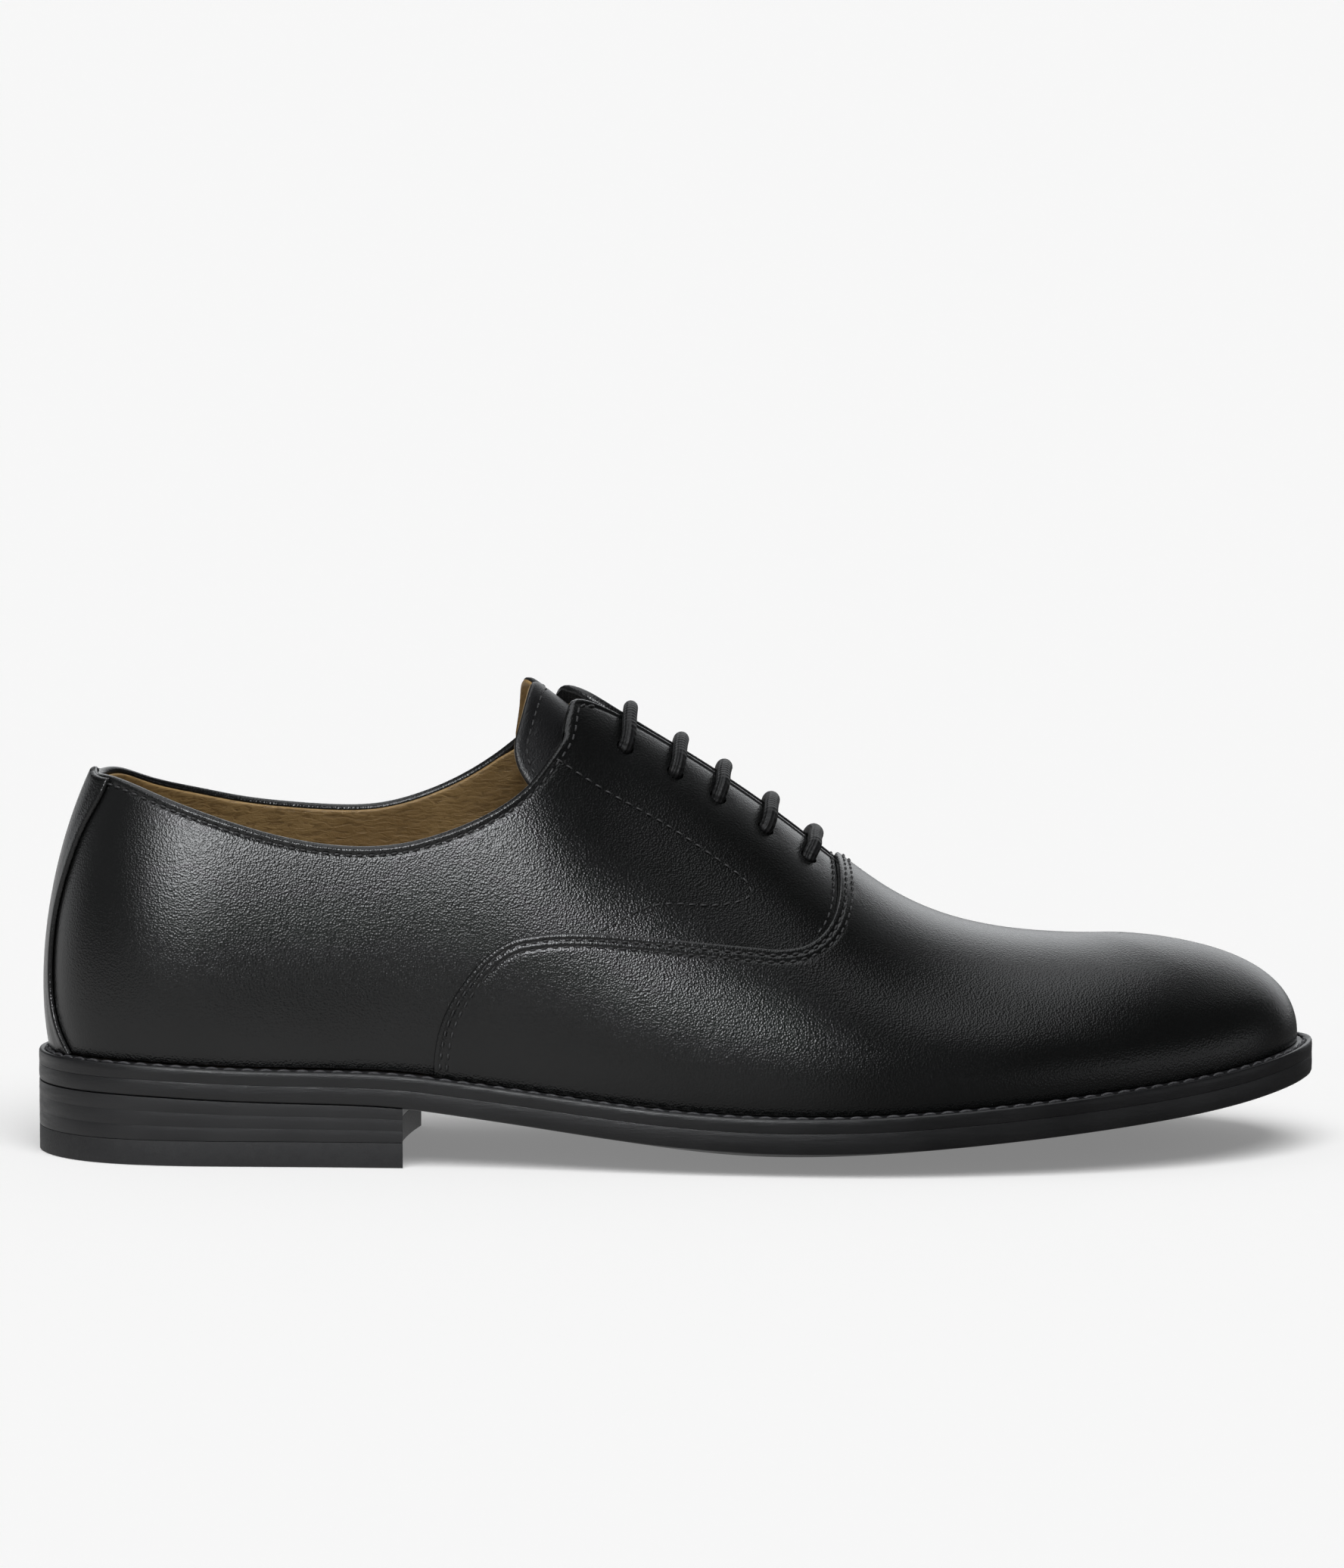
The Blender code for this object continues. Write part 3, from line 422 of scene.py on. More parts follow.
def add(mesh, look, stands_for=(), body=SHOE):
    """Adds a piece, painted, in place of the CAD nodes it stands for; it rides or bends."""
    thing = hang(mesh.name, mesh, PIECES)
    mesh.materials.clear()
    mesh.materials.append(look)
    if stands_for:
        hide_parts(*stands_for)
    high = max(v.co.x for v in mesh.vertices) / MM - SHIFT
    if body == SHOE and high > FLEX[0]:
        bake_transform(thing)
    else:
        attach(thing, body)


def tube(rings, around, start=0, closed=False, capped=False):
    """Faces between rings of points, closed into a loop or capped at the ends if asked."""
    faces = []
    for i in range(rings if closed else rings - 1):
        a, b = start + i * around, start + (i + 1) % rings * around
        faces += [(a + j, a + (j + 1) % around, b + (j + 1) % around, b + j)
                  for j in range(around)]
    if capped:
        end = start + (rings - 1) * around
        faces += [tuple(range(start, start + around))[::-1], tuple(range(end, end + around))]
    return faces


def weld(points):
    """For each point, the number of the first one in the same place."""
    seen = {}
    return [seen.setdefault(tuple(p), i) for i, p in enumerate(np.round(points, 3).tolist())]


def shell(name, panels, sharp=None):
    """A closed sheet from panels of (side, outer points, inner points), each a grid."""
    outer, inner, faces = [], [], []
    for side, top, under in panels:
        n, m = top.shape[:2]
        start = sum(len(o) for o in outer)
        outer.append(top.reshape(-1, 3))
        inner.append(under.reshape(-1, 3))
        faces += [(a, a + m, a + m + 1, a + 1)[::side] for i in range(n - 1)
                  for a in range(start + i * m, start + (i + 1) * m - 1)]
    outer, inner = np.concatenate(outer), np.concatenate(inner)
    same = weld(outer)
    clean = []
    for corners in faces:
        ring = [same[i] for i in corners]
        ring = [v for k, v in enumerate(ring) if v != ring[k - 1]]
        if len(ring) > 2:
            clean.append(tuple(ring))
    total = len(outer)
    edges = {(a, b) for ring in clean for a, b in zip(ring, ring[1:] + ring[:1])}
    whole = clean + [tuple(v + total for v in ring[::-1]) for ring in clean]
    whole += [(b, a, a + total, b + total) for a, b in edges if (b, a) not in edges]
    return mesh_of(name, np.concatenate([outer, inner]), whole, sharp=sharp)


def distance_to(points, line):
    """Distance of each point from a polyline in space."""
    p = points.reshape(-1, 3)
    a, d = line[:-1], np.diff(line, axis=0)
    batch = 4000
    best = []
    for lo in range(0, len(p), batch):
        q = p[lo:lo + batch, None] - a[None]
        w = np.clip((q * d).sum(-1) / (d * d).sum(-1), 0, 1)
        best.append(np.linalg.norm(q - d * w[..., None], axis=-1).min(1))
    return np.concatenate(best).reshape(points.shape[:-1])


def from_edge(side, grid, edge):
    return distance_to(face(side, grid), below(side, edge, 0))


def fit_rows(side, bottom, top, near, rows):
    """A grid from bottom to top, with rows at given distances from the top, then evenly spaced."""
    w = np.linspace(0, 1, 121)
    p = face(side, between(top, bottom, w))
    step = np.linalg.norm(np.diff(p, axis=1), axis=-1)
    d = np.concatenate([np.zeros((len(p), 1)), np.cumsum(step, axis=1)], 1)
    near = np.array(near, float)
    columns = []
    for line, low, high in zip(d, bottom, top):
        first = near * min(1, 0.6 * line[-1] / near[-1])
        rest = (line[-1] - first[-1]) * np.linspace(0, 1, rows + 1)[1:]
        share = np.interp(np.r_[first, first[-1] + rest], line, w)[::-1, None]
        columns.append(high * (1 - share) + low * share)
    return np.array(columns)


def layer(side, grid, outer, inner):
    """A panel for shell(), from the depths of its two faces."""
    return side, below(side, grid, outer), below(side, grid, inner)


def rounded(d, radius):
    """How far a rounded edge falls away at a distance from it."""
    near = np.clip(radius - d, 0, radius)
    return radius - np.sqrt(radius * radius - near * near)


def dent(d, at, width):
    return np.exp(-((d - at) / width) ** 2)


# ---- the upper

NEAR_FOLD = [0, .06, .2, .42, .7, 1.0, 1.35, 1.7, 2.0, 2.2, 2.4, 2.65, 3.0, 3.5, 4.2, 5.2, 6.6,
             8.5]
NEAR_SEAM = [0, .04, .12, .25, .45, .7, 1.0, 1.25, 1.45, 1.65, 1.9, 2.3, 2.7, 3.0, 3.2, 3.4, 3.7,
             4.2, 5.0, 6.3, 8.0]
NEAR_TRIM = [0, .15, .5, 1.2, 2.5, 5]
NEAR_GRIP = [0, .2, .6, 1.2, 2.4]
CORNER_X = 101                  # where the topline starts to turn up to the facing
PUNCH_REACH = (-2.0, 7.0)       # depths between which the lace holes are cut
HOLE_POINTS = 32


def top_run(side):
    """Topline from the heel, round the corner and down the facing."""
    rise = np.concatenate([[(HEEL_SEAM, HEEL_TOP)], side_view(side, TOPLINE[side])])
    corner = top_view(side, FACING[side])
    whole = along(np.concatenate([rise, corner]), 1200)
    turn, bend = np.searchsorted(whole[:, 0], (on_feather(side, CORNER_X), corner[1, 0]))
    return whole, turn, bend


def quarter_grid(side, counts, near, rows, trim=None):
    """The quarter's region, cut back along the topline and along the facing by the trims."""
    up = side_view(side, UNDERLAY_UP)
    up[0, 1] = 0
    level = side_view(side, UNDERLAY_ALONG)
    whole, turn, bend = top_run(side)
    runs = whole[:turn + 1], whole[turn:bend + 1], whole[bend:]
    top = chain(*[resample(run, n) for run, n in zip(runs, counts)])
    if trim:
        rise = np.clip((top[:, 0] - TRIM_FROM) / 0.05, 0, 1)
        cut = trim[0] + (trim[1] - trim[0]) * rise
        moved = inset(side, top, side * 1.0) - top
        top = top + moved * (cut * np.clip(top[:, 0] / 0.01, 0, 1))[:, None]
    level = np.concatenate([level, [(top[-1, 0] - 0.001, 0.80)]])
    start = flat_run(HEEL_SEAM, up[0, 0], counts[0])
    bottom = chain(start, along(up, counts[1]), along(level, counts[2]))
    return fit_rows(side, bottom, top, near, rows), top


def hole(row):
    """The (u, t) of a lace hole; both sides have theirs at the same places."""
    return side_view(LATERAL, EYELETS[row:row + 1])[0]


def punched(mesh, side):
    """The mesh with its lace holes cut."""
    turn = circle(HOLE_POINTS)[:, None]
    verts, faces = [], []
    for row in range(len(EYELETS)):
        uv = hole(row)
        a, n = last(side, *uv), normal(side, *uv)
        across = unit(np.cross(n, (0.3, 0.1, 1.0)))
        ring = HOLE_RADIUS * (across * np.cos(turn) + np.cross(n, across) * np.sin(turn))
        faces += tube(2, HOLE_POINTS, 2 * HOLE_POINTS * row, capped=True)
        verts += [a + ring - n * depth for depth in PUNCH_REACH]
    tool = hang("punch", mesh_of("punch", np.concatenate(verts), faces))
    work = hang("work", mesh)
    cut = work.modifiers.new("holes", "BOOLEAN")
    cut.object = tool
    cut.operation = "DIFFERENCE"
    cut.solver = "EXACT"
    ready = work.evaluated_get(bpy.context.evaluated_depsgraph_get())
    made = bpy.data.meshes.new_from_object(ready)
    for thing in (tool, work):
        bpy.data.objects.remove(thing)
    made.name = mesh.name
    made.shade_smooth()
    made.set_sharp_from_angle(angle=math.radians(50))
    return made


def quarter(word, side, look):
    """A quarter, its edge folded over, with grooves along the fold and dimples round the holes."""
    grid, top = quarter_grid(side, (90, 26, 96), NEAR_FOLD, 34)
    d = from_edge(side, grid, top)
    fall = rounded(d, 1.05)
    shape = fall - 0.20 * dent(d, 1.1, 0.65) + 0.20 * dent(d, 2.3, 0.42)
    for row in range(len(EYELETS)):
        away = np.linalg.norm(face(side, grid) - last(side, *hole(row)), axis=-1)
        shape = shape + 0.3 * dent(away, 0, 3.4)
    thick = QUARTER[1] - QUARTER[0] + np.clip((9 - d) / 2.5, 0, 1)
    panel = layer(side, grid, QUARTER[0] + shape, QUARTER[0] + thick - fall)
    mesh = punched(shell(f"quarter_{word}_leather", [panel]), side)
    add(mesh, look, [f"quarter_{word}"])


def wave(grid, d):
    """Slack in a lining: shallow waves that die out at its edge."""
    u, t = np.moveaxis(grid * SPAN, -1, 0)
    swell = np.sin(u * 0.9 + 2.2 * np.sin(t * 0.35)) * np.sin(t * 0.55 + 1.3 * np.sin(u * 0.21))
    return swell * np.clip(d / 8, 0, 1)


def quarter_lining(word, side, look):
    grid, top = quarter_grid(side, (60, 30, 60), NEAR_TRIM, 24, LINING_TRIM)
    d = from_edge(side, grid, top)
    fall = rounded(d, 0.5) * 0.7
    panel = layer(side, grid, LINING[0] - 0.1 + fall, LINING[1] - fall + 0.25 * wave(grid, d))
    mesh = punched(shell(f"quarter_lining_{word}_leather", [panel]), side)
    add(mesh, look, [f"quarter_lining_{word}"])


def vamp_runs(side, counts):
    """The vamp's bottom and top, and the part of the top that is the seam with the quarter."""
    rear = side_view(side, SEAM_REAR)
    rear[0, 1] = 0
    end = throat_u()
    throat = np.concatenate([side_view(side, SEAM_THROAT), [(end, 1.0)]])
    parts = (rear, side_view(side, SEAM_ALONG), throat)
    edge = chain(*[along(part, n) for part, n in zip(parts, counts)])
    top = chain(edge, flat_run(end, 1.0, counts[3], 1.0))
    cuts = [rear[0, 0]] + [on_feather(side, x) for x in (115, 172, 196)] + [1.0]
    bottom = chain(*[flat_run(a, b, n) for a, b, n in zip(cuts, cuts[1:], counts)])
    return bottom, top, edge


def vamp(look):
    """The vamp, with the quarters' edges and two rows of stitches pressed into it."""
    panels = []
    for side in SIDES.values():
        bottom, top, edge = vamp_runs(side, (36, 60, 50, 90))
        grid = fit_rows(side, bottom, top, NEAR_SEAM, 44)
        d = from_edge(side, grid, edge)
        rows = dent(d, 1.6, 0.3) + dent(d, 3.3, 0.3)
        swell = 0.06 * dent(d, 0.9, 0.4) + 0.08 * dent(d, 2.45, 0.45)
        panels.append(layer(side, grid, rounded(d, 0.45) + 0.16 * rows - swell, VAMP[1]))
    add(shell("vamp_leather", panels, sharp=50), look, ["vamp"])


def back_strip(look):
    """The strip over the heel seam, its top folded over the topline."""
    count = 80
    edge = along(STRIP_EDGE, count)
    rise = (STRIP_TOP - edge[-1, 1]) * (edge[:, 1] / edge[-1, 1]) ** 6
    middle = np.stack([np.zeros(count + 1), edge[:, 1] + rise], 1)
    w = np.array([0, .25, .5, .68, .8, .88, .94, .975, 1.0])
    near = np.array([0, .002, .005, .009, .013, .018, .025, .034])
    share = np.r_[np.linspace(0, 1 - near[-1], 60), 1 - near[-2::-1]]
    steps = np.linspace(0, 1, count + 1)
    edge, middle = pick(share, steps, edge), pick(share, steps, middle)
    panels = []
    for side in SIDES.values():
        grid = between(middle, edge, w)
        top = from_edge(side, grid, grid[-1])
        fold = np.clip((1.2 - top) / 0.3, 0, 1)
        round_top = rounded(top, 1.4)
        d = from_edge(side, grid, edge)
        fall = np.maximum(rounded(d, 0.5), round_top) + 0.22 * dent(d, 2.6, 0.35)
        _, outer, inner = layer(side, grid, STRIP[0] + fall,
                                STRIP[1] + fold * (STRIP_FOLD - STRIP[1] - round_top))
        panels.append((side, *[np.swapaxes(p, 0, 1)[::-1] for p in (outer, inner)]))
    add(shell("back_strip_leather", panels, sharp=60), look, ["back_strip"])


def heel_grip(look):
    reach, ease = 0.12, 1.35
    share = np.linspace(0, 1, 41) ** ease
    top = np.stack([share * reach, 0.63 - 0.10 * share], 1)
    bottom = flat_run(0, reach, 40, 0.10, ease)
    panels = []
    for side in SIDES.values():
        grid = fit_rows(side, bottom, top, NEAR_GRIP, 20)
        fall = rounded(from_edge(side, grid, top), 0.4)
        panels.append(layer(side, grid, GRIP[0] + fall * 0.5, GRIP[1] - fall))
    add(shell("heel_grip_suede", panels), look, ["heel_grip"])


# ---- the tongue

def tongue_grid(side, count, across):
    """Half the tongue, its tip turned a little to one side."""
    centre = flat_run(throat_u() + TONGUE_ROOT, TONGUE_TIP, count, 1.0)
    grid = between(along(TONGUE_EDGE, count), centre, across)
    lift = np.linspace(0, 1, count + 1)[:, None] ** 4
    grid[..., 0] -= 0.003 * side * lift * np.sin(math.pi * across)[None, :]
    return grid


def tongue_edge(side):
    grid = tongue_grid(side, 60, np.linspace(0, 1, 25))
    return resample(chain(grid[:, 0], grid[-1]), 300)


def tongue(look, tan):
    across = np.r_[0, .02, .05, .09, .14, np.linspace(.2, 1, 15)]
    leather, lining = [], []
    for side in SIDES.values():
        grid = tongue_grid(side, 90, across)
        d = from_edge(side, grid, tongue_edge(side))
        fall = rounded(d, 0.5)
        seam = 0.12 * dent(d, 3.4, 0.4) - 0.1 * dent(d, 1.8, 0.9)
        leather.append(layer(side, grid, TONGUE[0] + fall + seam, TONGUE[1] - 0.2 * fall))
        lining.append(layer(side, grid, TONGUE_LINING[0], TONGUE_LINING[1] - fall))
    add(shell("tongue_leather", leather), look, ["tongue"], TONGUE_BODY)
    add(shell("tongue_lining_leather", lining), tan, ["tongue_lining"],
        TONGUE_BODY)


# ---- stitches

# A stitch is a bent cord: the share of its length, height and width at each of its rings.
STITCH_SHAPE = [(0, -0.9, 0.55), (0.1, 0.15, 0.9), (0.28, 0.75, 1), (0.5, 1.0, 1),
                (0.72, 0.75, 1), (0.9, 0.15, 0.9), (1.0, -0.9, 0.55)]
STITCH_AROUND = 6


def sew(name, rows, thread, radius, rise, slant, cover=0.66, body=SHOE):
    """Stitches along rows of (points, normals), with their ends in the leather."""
    verts, faces = [], []
    turn = circle(STITCH_AROUND)
    for points, normals in rows:
        for i in range(len(points) - 1):
            a, b = points[i], points[i + 1]
            n, ahead = unit(normals[i] + normals[i + 1]), unit(b - a)
            across = np.cross(n, ahead)
            length = np.linalg.norm(b - a) * cover
            faces += tube(len(STITCH_SHAPE), STITCH_AROUND, len(verts), capped=True)
            for share, height, width in STITCH_SHAPE:
                s = share - 0.5
                c = (a + b) / 2 + ahead * s * length + across * (slant * s * 2)
                c = c + n * (height * rise)
                verts += [c + (across * math.cos(w) + n * math.sin(w)) * radius * width
                          for w in turn]
    add(raw_mesh(name, np.array(verts), faces), thread, body=body)


def stitch_row(side, run, depth, pitch=2.7):
    """Points a pitch apart along a run on the upper at a depth, with the normals there."""
    fine = resample(run, 600)
    uv = spaced(below(side, fine, depth), pitch, fine)
    return below(side, uv, depth), normal(side, uv[:, 0], uv[:, 1])


def kept(run):
    """The part of a run that lies on its own side of the crest."""
    return run[(run[:, 1] > 0) & (run[:, 1] < 0.995)]


def upper_stitches(thread):
    for word, side in SIDES.items():
        run = resample(top_run(side)[0], 500)
        end = np.searchsorted(run[:, 0], TOPLINE_STITCH_END[word])
        row = stitch_row(side, inset(side, run[12:end], side * 2.3), QUARTER[0] + 0.06)
        sew(f"stitch_topline_{word}", [row], thread, .28, .26, .06)
        run = along(side_view(side, STAY_STITCH), 300)
        row = stitch_row(side, run, QUARTER[0] - 0.06, 2.8)
        sew(f"stitch_facing_{word}", [row], thread, .24, .24, .05)
        edge = resample(vamp_runs(side, (60, 90, 60, 10))[2], 300)[2:]
        rows = [stitch_row(side, kept(inset(side, edge, side * k)), 0.08) for k in (1.6, 3.3)]
        rows.append(stitch_row(side, kept(inset(side, edge[215:], side * -1.1)),
                               QUARTER[0] - 0.05))
        sew(f"stitch_vamp_{word}", rows, thread, .26, .28, .05, .62)
        run = kept(inset(side, tongue_edge(side)[60:], side * 3.4))
        row = stitch_row(side, run, TONGUE[0] + 0.08, 2.6)
        sew(f"stitch_tongue_{word}", [row], thread, .24, .22, .05, body=TONGUE_BODY)


# ---- the bottom

WELT_STITCH_PITCH = 4.3
SOLE_SLICES = 150
LAYER_GAP = 0.004               # what shows as a line between the heel's lifts

# How far the welt and sole stand out from the upper, against u.
projection = graph([(0, 2.2), (0.12, 2.2), (0.3, 3.2), (0.6, 3.8), (1, 3.6)])
# How far the sole's middle hangs below its sides, and how much thinner it is, against x.
hang_down = graph([(0, 0), (90, 0), (120, 1.6), (165, 5.2), (205, 5.0), (250, 3.6), (306, 1.0)])
thinner = graph([(0, 0.7), (60, 0.5), (120, 0), (306, 0)])


def rim(side, u, out):
    f, n = foot(side, u)
    return f + n * np.asarray(out)[..., None]


def sole_bottom(x):
    return welt_z(x) - WELT_THICK - GAP - OUTSOLE_THICK + thinner(x)


def ease_ends(count):
    s = np.linspace(0, 1, count + 1)
    return s - np.sin(2 * math.pi * s) / (2 * math.pi) * 0.7


def welt(look):
    """A strip once round the shoe, its top grooved for the stitches."""
    u = ease_ends(200)
    ring = [(LATERAL, s) for s in u] + [(MEDIAL, s) for s in u[::-1][1:-1]]
    verts = []
    for side, s in ring:
        edge = [(-0.03, -WELT_THICK - 0.02), (0, -WELT_THICK + 0.15), (0.05, -1.6), (0, -0.55),
                (-0.18, -0.18), (-0.5, -0.03), (-0.9, -0.02), (-1.25, -0.28), (-1.75, -0.38),
                (-2.25, -0.25), (-2.7, 0.0)]
        inner = [(-0.6, 0.05), (-2, 0.0), (-7.3, -0.05), (-7.3, -WELT_THICK)]
        profile = [(projection(s) + out, up) for out, up in edge] + inner
        for out, up in profile:
            x, y = rim(side, s, out)
            verts.append((x, y, welt_z(x) + up))
    faces = tube(len(ring), len(profile), closed=True)
    add(mesh_of("welt_strip", verts, faces, sharp=40), look, ["welt"])


def welt_stitches(thread):
    rows = []
    u = ease_ends(600)
    for side in SIDES.values():
        p = rim(side, u, projection(u) - 1.75)
        line = np.concatenate([p, (welt_z(p[:, 0]) - 0.32)[:, None]], 1)
        points = spaced(line, WELT_STITCH_PITCH, line)
        rows.append((points, np.tile([0, 0, 1.0], (len(points), 1))))
    sew("stitch_welt", rows, thread, .42, .34, .12, .86)


def outsole(look):
    """The sole: rounded at its edges, and lower in the middle than at its sides."""
    across = np.sin(np.linspace(-1, 1, 25) * math.pi / 2)[1:-1]
    over = np.linspace(-1, 1, 9)[1:-1]
    verts = []
    for u in ease_ends(SOLE_SLICES):
        walls = []
        for side, turned in ((LATERAL, 1), (MEDIAL, -1)):
            p, n = rim(side, u, projection(u)), foot(side, u)[1]
            top = welt_z(p[0]) - WELT_THICK - SOLE_GAP
            low = sole_bottom(p[0])
            wall = [(-0.5, top), (-0.04, top - 0.04), (0.0, top - 0.15), (0.06, (top + low) / 2),
                    (0.0, low + 0.7), (-0.2, low + 0.25), (-0.7, low)]
            walls.append([(*(p + n * out), z) for out, z in wall][::turned])
        lateral, medial = walls
        flats = []
        for a, b, places in ((lateral[-1], medial[0], across), (medial[-1], lateral[0], over)):
            w = places[:, None]
            flats.append(np.array(a) * (1 - w) / 2 + np.array(b) * (1 + w) / 2)
        x = flats[0][:, 0]
        flats[0][:, 2] = sole_bottom(x) - hang_down(np.clip(x, 0, 306)) * (1 - across * across)
        flats[1][:, 2] = welt_z(flats[1][:, 0]) - WELT_THICK - SOLE_GAP
        verts += [lateral, flats[0], medial, flats[1]]
    around = sum(len(part) for part in verts[:4])
    faces = tube(SOLE_SLICES + 1, around)
    mesh = mesh_of("outsole_leather", np.concatenate(verts), faces, merge=5e-6, sharp=45)
    add(mesh, look, ["outsole"])


def heel_loop(out):
    """Outline of the heel, moved outwards: round the lateral side and across the breast."""
    share = np.linspace(0, 1, 61) ** 1.25
    sides = []
    for side in SIDES.values():
        u = share * on_feather(side, HEEL_LENGTH)
        line = rim(side, u, projection(u) + out)
        line[:, 0] += (HEEL_LENGTH + out - line[-1, 0]) * share ** 8
        sides.append(line)
    left, right = sides
    w = np.sin(np.linspace(-1, 1, 31) * math.pi / 2)
    y = left[-1, 1] * (1 - w) / 2 + right[-1, 1] * (1 + w) / 2
    x = HEEL_LENGTH + out + 1.2 * (1 + w) - 3.0 * (1 - w * w)
    right = right + np.stack([2.4 * share ** 8, 0 * share], 1)
    return np.concatenate([left, np.stack([x, y], 1)[1:-1], right[:0:-1]])


def heel_piece(name, low, high, look, node_name):
    """A heel layer with slightly broken edges and a wall that swells a little."""
    rows = [(-0.03, low, 0.0), (-0.006, low, 0.01), (0.0, low, 0.03), (0.02, None, 0),
            (0.0, high, -0.03), (-0.006, high, -0.01), (-0.03, high, 0.0)]
    verts = []
    for out, height, extra in rows:
        loop = heel_loop(out)
        x = loop[:, 0]
        z = height(x) + extra if height else (low(x) + high(x)) / 2
        verts.append(np.concatenate([loop, z[:, None]], 1))
    faces = tube(len(rows), len(verts[0]), capped=True)
    mesh = mesh_of(name, np.concatenate(verts), faces, sharp=35)
    add(mesh, look, [node_name])


def heel(stack, rubber):
    """Three lifts between the sole and the top piece, which lies flat on the ground."""
    def level(share, extra):
        return lambda x: HEEL_FLAT + 0.06 + (sole_bottom(x) - 0.06 - HEEL_FLAT) * share + extra
    heel_piece("heel_top_piece_rubber", lambda x: 0 * x, lambda x: 0 * x + HEEL_FLAT - 0.06,
               rubber, "heel_top_piece")
    for i in range(3):
        heel_piece(f"heel_lift_{i + 1}_leather", level(i / 3, LAYER_GAP),
                   level((i + 1) / 3, -LAYER_GAP), stack, f"heel_lift_{i + 1}")


def carried(name, new, look):
    """A CAD node that only needs a finish but has to bend: the same solid as its own piece."""
    mesh = frame["nodes"][name].data.copy()
    mesh.name = new
    add(mesh, look, [name])


def sock_lining(look):
    """The lining of the insole: thinner at its edge, and slightly uneven."""
    shares = ease_ends(110)
    across = np.linspace(-1, 1, 25)
    inside = np.full(len(shares), -LINING[1] - 2 * GAP - 0.7)
    plan = between(rim(LATERAL, shares, inside), rim(MEDIAL, shares, inside), (1 + across) / 2)
    x, y = plan[..., 0], plan[..., 1]
    edge = np.minimum(1 - np.abs(across)[None, :], 0.12) / 0.12
    edge = edge * np.clip(np.minimum(shares, 1 - shares) / 0.01, 0, 1)[:, None]
    soft = 0.12 * np.sin(x * 0.11 + 1.5 * np.sin(y * 0.16)) * np.sin(y * 0.21 + 0.8)
    base = welt_z(x) + 3 * GAP + INSOLE_THICK
    top = base + SOCK_THICK * (0.55 + 0.45 * np.sqrt(edge)) + soft
    upper, lower = [np.concatenate([plan, z[..., None]], -1) for z in (top, base)]
    add(shell("sock_lining_leather", [(1, upper, lower)]), look,
        ["sock_lining"])


# ---- the lace

def cord(name, p, radius, around=20):
    """A round cord with a UV map: u along it in millimetres, v once round it."""
    ahead = unit(np.gradient(p, axis=0))
    a = np.cross(ahead[0], (0.3, 0.1, 1.0))
    across = []
    for direction in ahead:
        a = unit(a - direction * a.dot(direction))
        across.append(a)
    across = np.array(across)
    up = np.cross(ahead, across)
    turn = circle(around)[:, None]
    ring = across[:, None] * np.cos(turn) + up[:, None] * np.sin(turn)
    verts = (p[:, None] + ring * radius[:, None, None]).reshape(-1, 3)
    mesh = raw_mesh(name, verts, tube(len(p), around, capped=True))
    s = lengths(p)
    corners = ((0, 0), (0, 1), (1, 1), (1, 0))
    uv = [(s[i + ahead], (j + turned) / around) for i in range(len(p) - 1)
          for j in range(around) for ahead, turned in corners] + [(0, 0)] * around * 2
    mesh.uv_layers.new(name="cord").data.foreach_set("uv", np.array(uv, np.float32).ravel())
    return mesh


def bar(row, start):
    """A lace bar from the hole on the start side, over the facings, to the other side's hole."""
    uv = hole(row)
    legs = []
    for side in (start, -start):
        a, n = last(side, *uv), normal(side, *uv)
        rise = [below(side, uv + (LACE_LEAN * w, (1 - uv[1]) * w), LACE_LIFT)
                for w in (0.16, 0.36, 0.68)]
        legs.append([a - n * 4.9, a - n * 1.6] + rise)
    peak = below(LATERAL, np.array([uv[0] + LACE_LEAN, 1.0]), LACE_LIFT)
    return legs[0] + [peak] + legs[1][::-1]


def run_under(side, first, second, shift):
    """The lace's way inside the shoe between two holes of a side, round the holes it passes."""
    a, b = hole(first), hole(second)
    return [below(side, a * (1 - w) + b * w + (0, shift * math.sin(math.pi * w) ** 0.5), RUN_DEPTH)
            for w in (0.16, 0.3, 0.5, 0.7, 0.84)]


def tail(side, row):
    """A lace end, hanging down inside the shoe."""
    uv = hole(row)
    return [below(side, uv - (0, drop), RUN_DEPTH + 0.1) for drop in (0.04, 0.08, 0.13, 0.18)]


def lace(look):
    legs = [tail(LATERAL, LACE_ORDER[0])[::-1]]
    start = LATERAL
    for row, following, shift in zip(LACE_ORDER, LACE_ORDER[1:], RUN_SHIFTS):
        legs += [bar(row, start), run_under(-start, row, following, shift)]
        start = -start
    legs += [bar(LACE_ORDER[-1], start), tail(-start, LACE_ORDER[-1])]
    points = np.concatenate(legs)
    bar_radius = [END_RADIUS] + [LACE_RADIUS] * 9 + [END_RADIUS]
    thick = np.concatenate([bar_radius if i % 2 else [RUN_RADIUS] * len(leg)
                            for i, leg in enumerate(legs)])
    s = lengths(points)
    fine = np.linspace(0, s[-1], 6000)
    path = spline(s, points)(fine)
    d = lengths(path)
    at = np.linspace(0, d[-1], int(d[-1] / 0.45) + 1)
    radius = np.interp(np.interp(at, d, fine), s, thick)
    add(cord("lace_cord", pick(at, d, path), radius), look, ["lace"])


# ---- materials

def fill(tree, made, inputs):
    """Links or sets inputs of a node."""
    for key, value in inputs.items():
        if isinstance(value, bpy.types.NodeSocket):
            tree.links.new(value, made.inputs[key])
        else:
            made.inputs[key].default_value = value


def node(tree, kind, inputs=None, **settings):
    made = tree.nodes.new("ShaderNode" + kind)
    for key, value in settings.items():
        setattr(made, key, value)
    fill(tree, made, inputs or {})
    return made


def maths(tree, operation, *values):
    return node(tree, "Math", dict(enumerate(values)), operation=operation).outputs[0]


def fold(tree, operation, values):
    result = values[0]
    for value in values[1:]:
        result = maths(tree, operation, result, value)
    return result


def blank(name):
    made = bpy.data.materials.new(name)
    made.use_nodes = True
    tree = made.node_tree
    return made, tree, tree.nodes["Principled BSDF"], node(tree, "TexCoord").outputs["Object"]


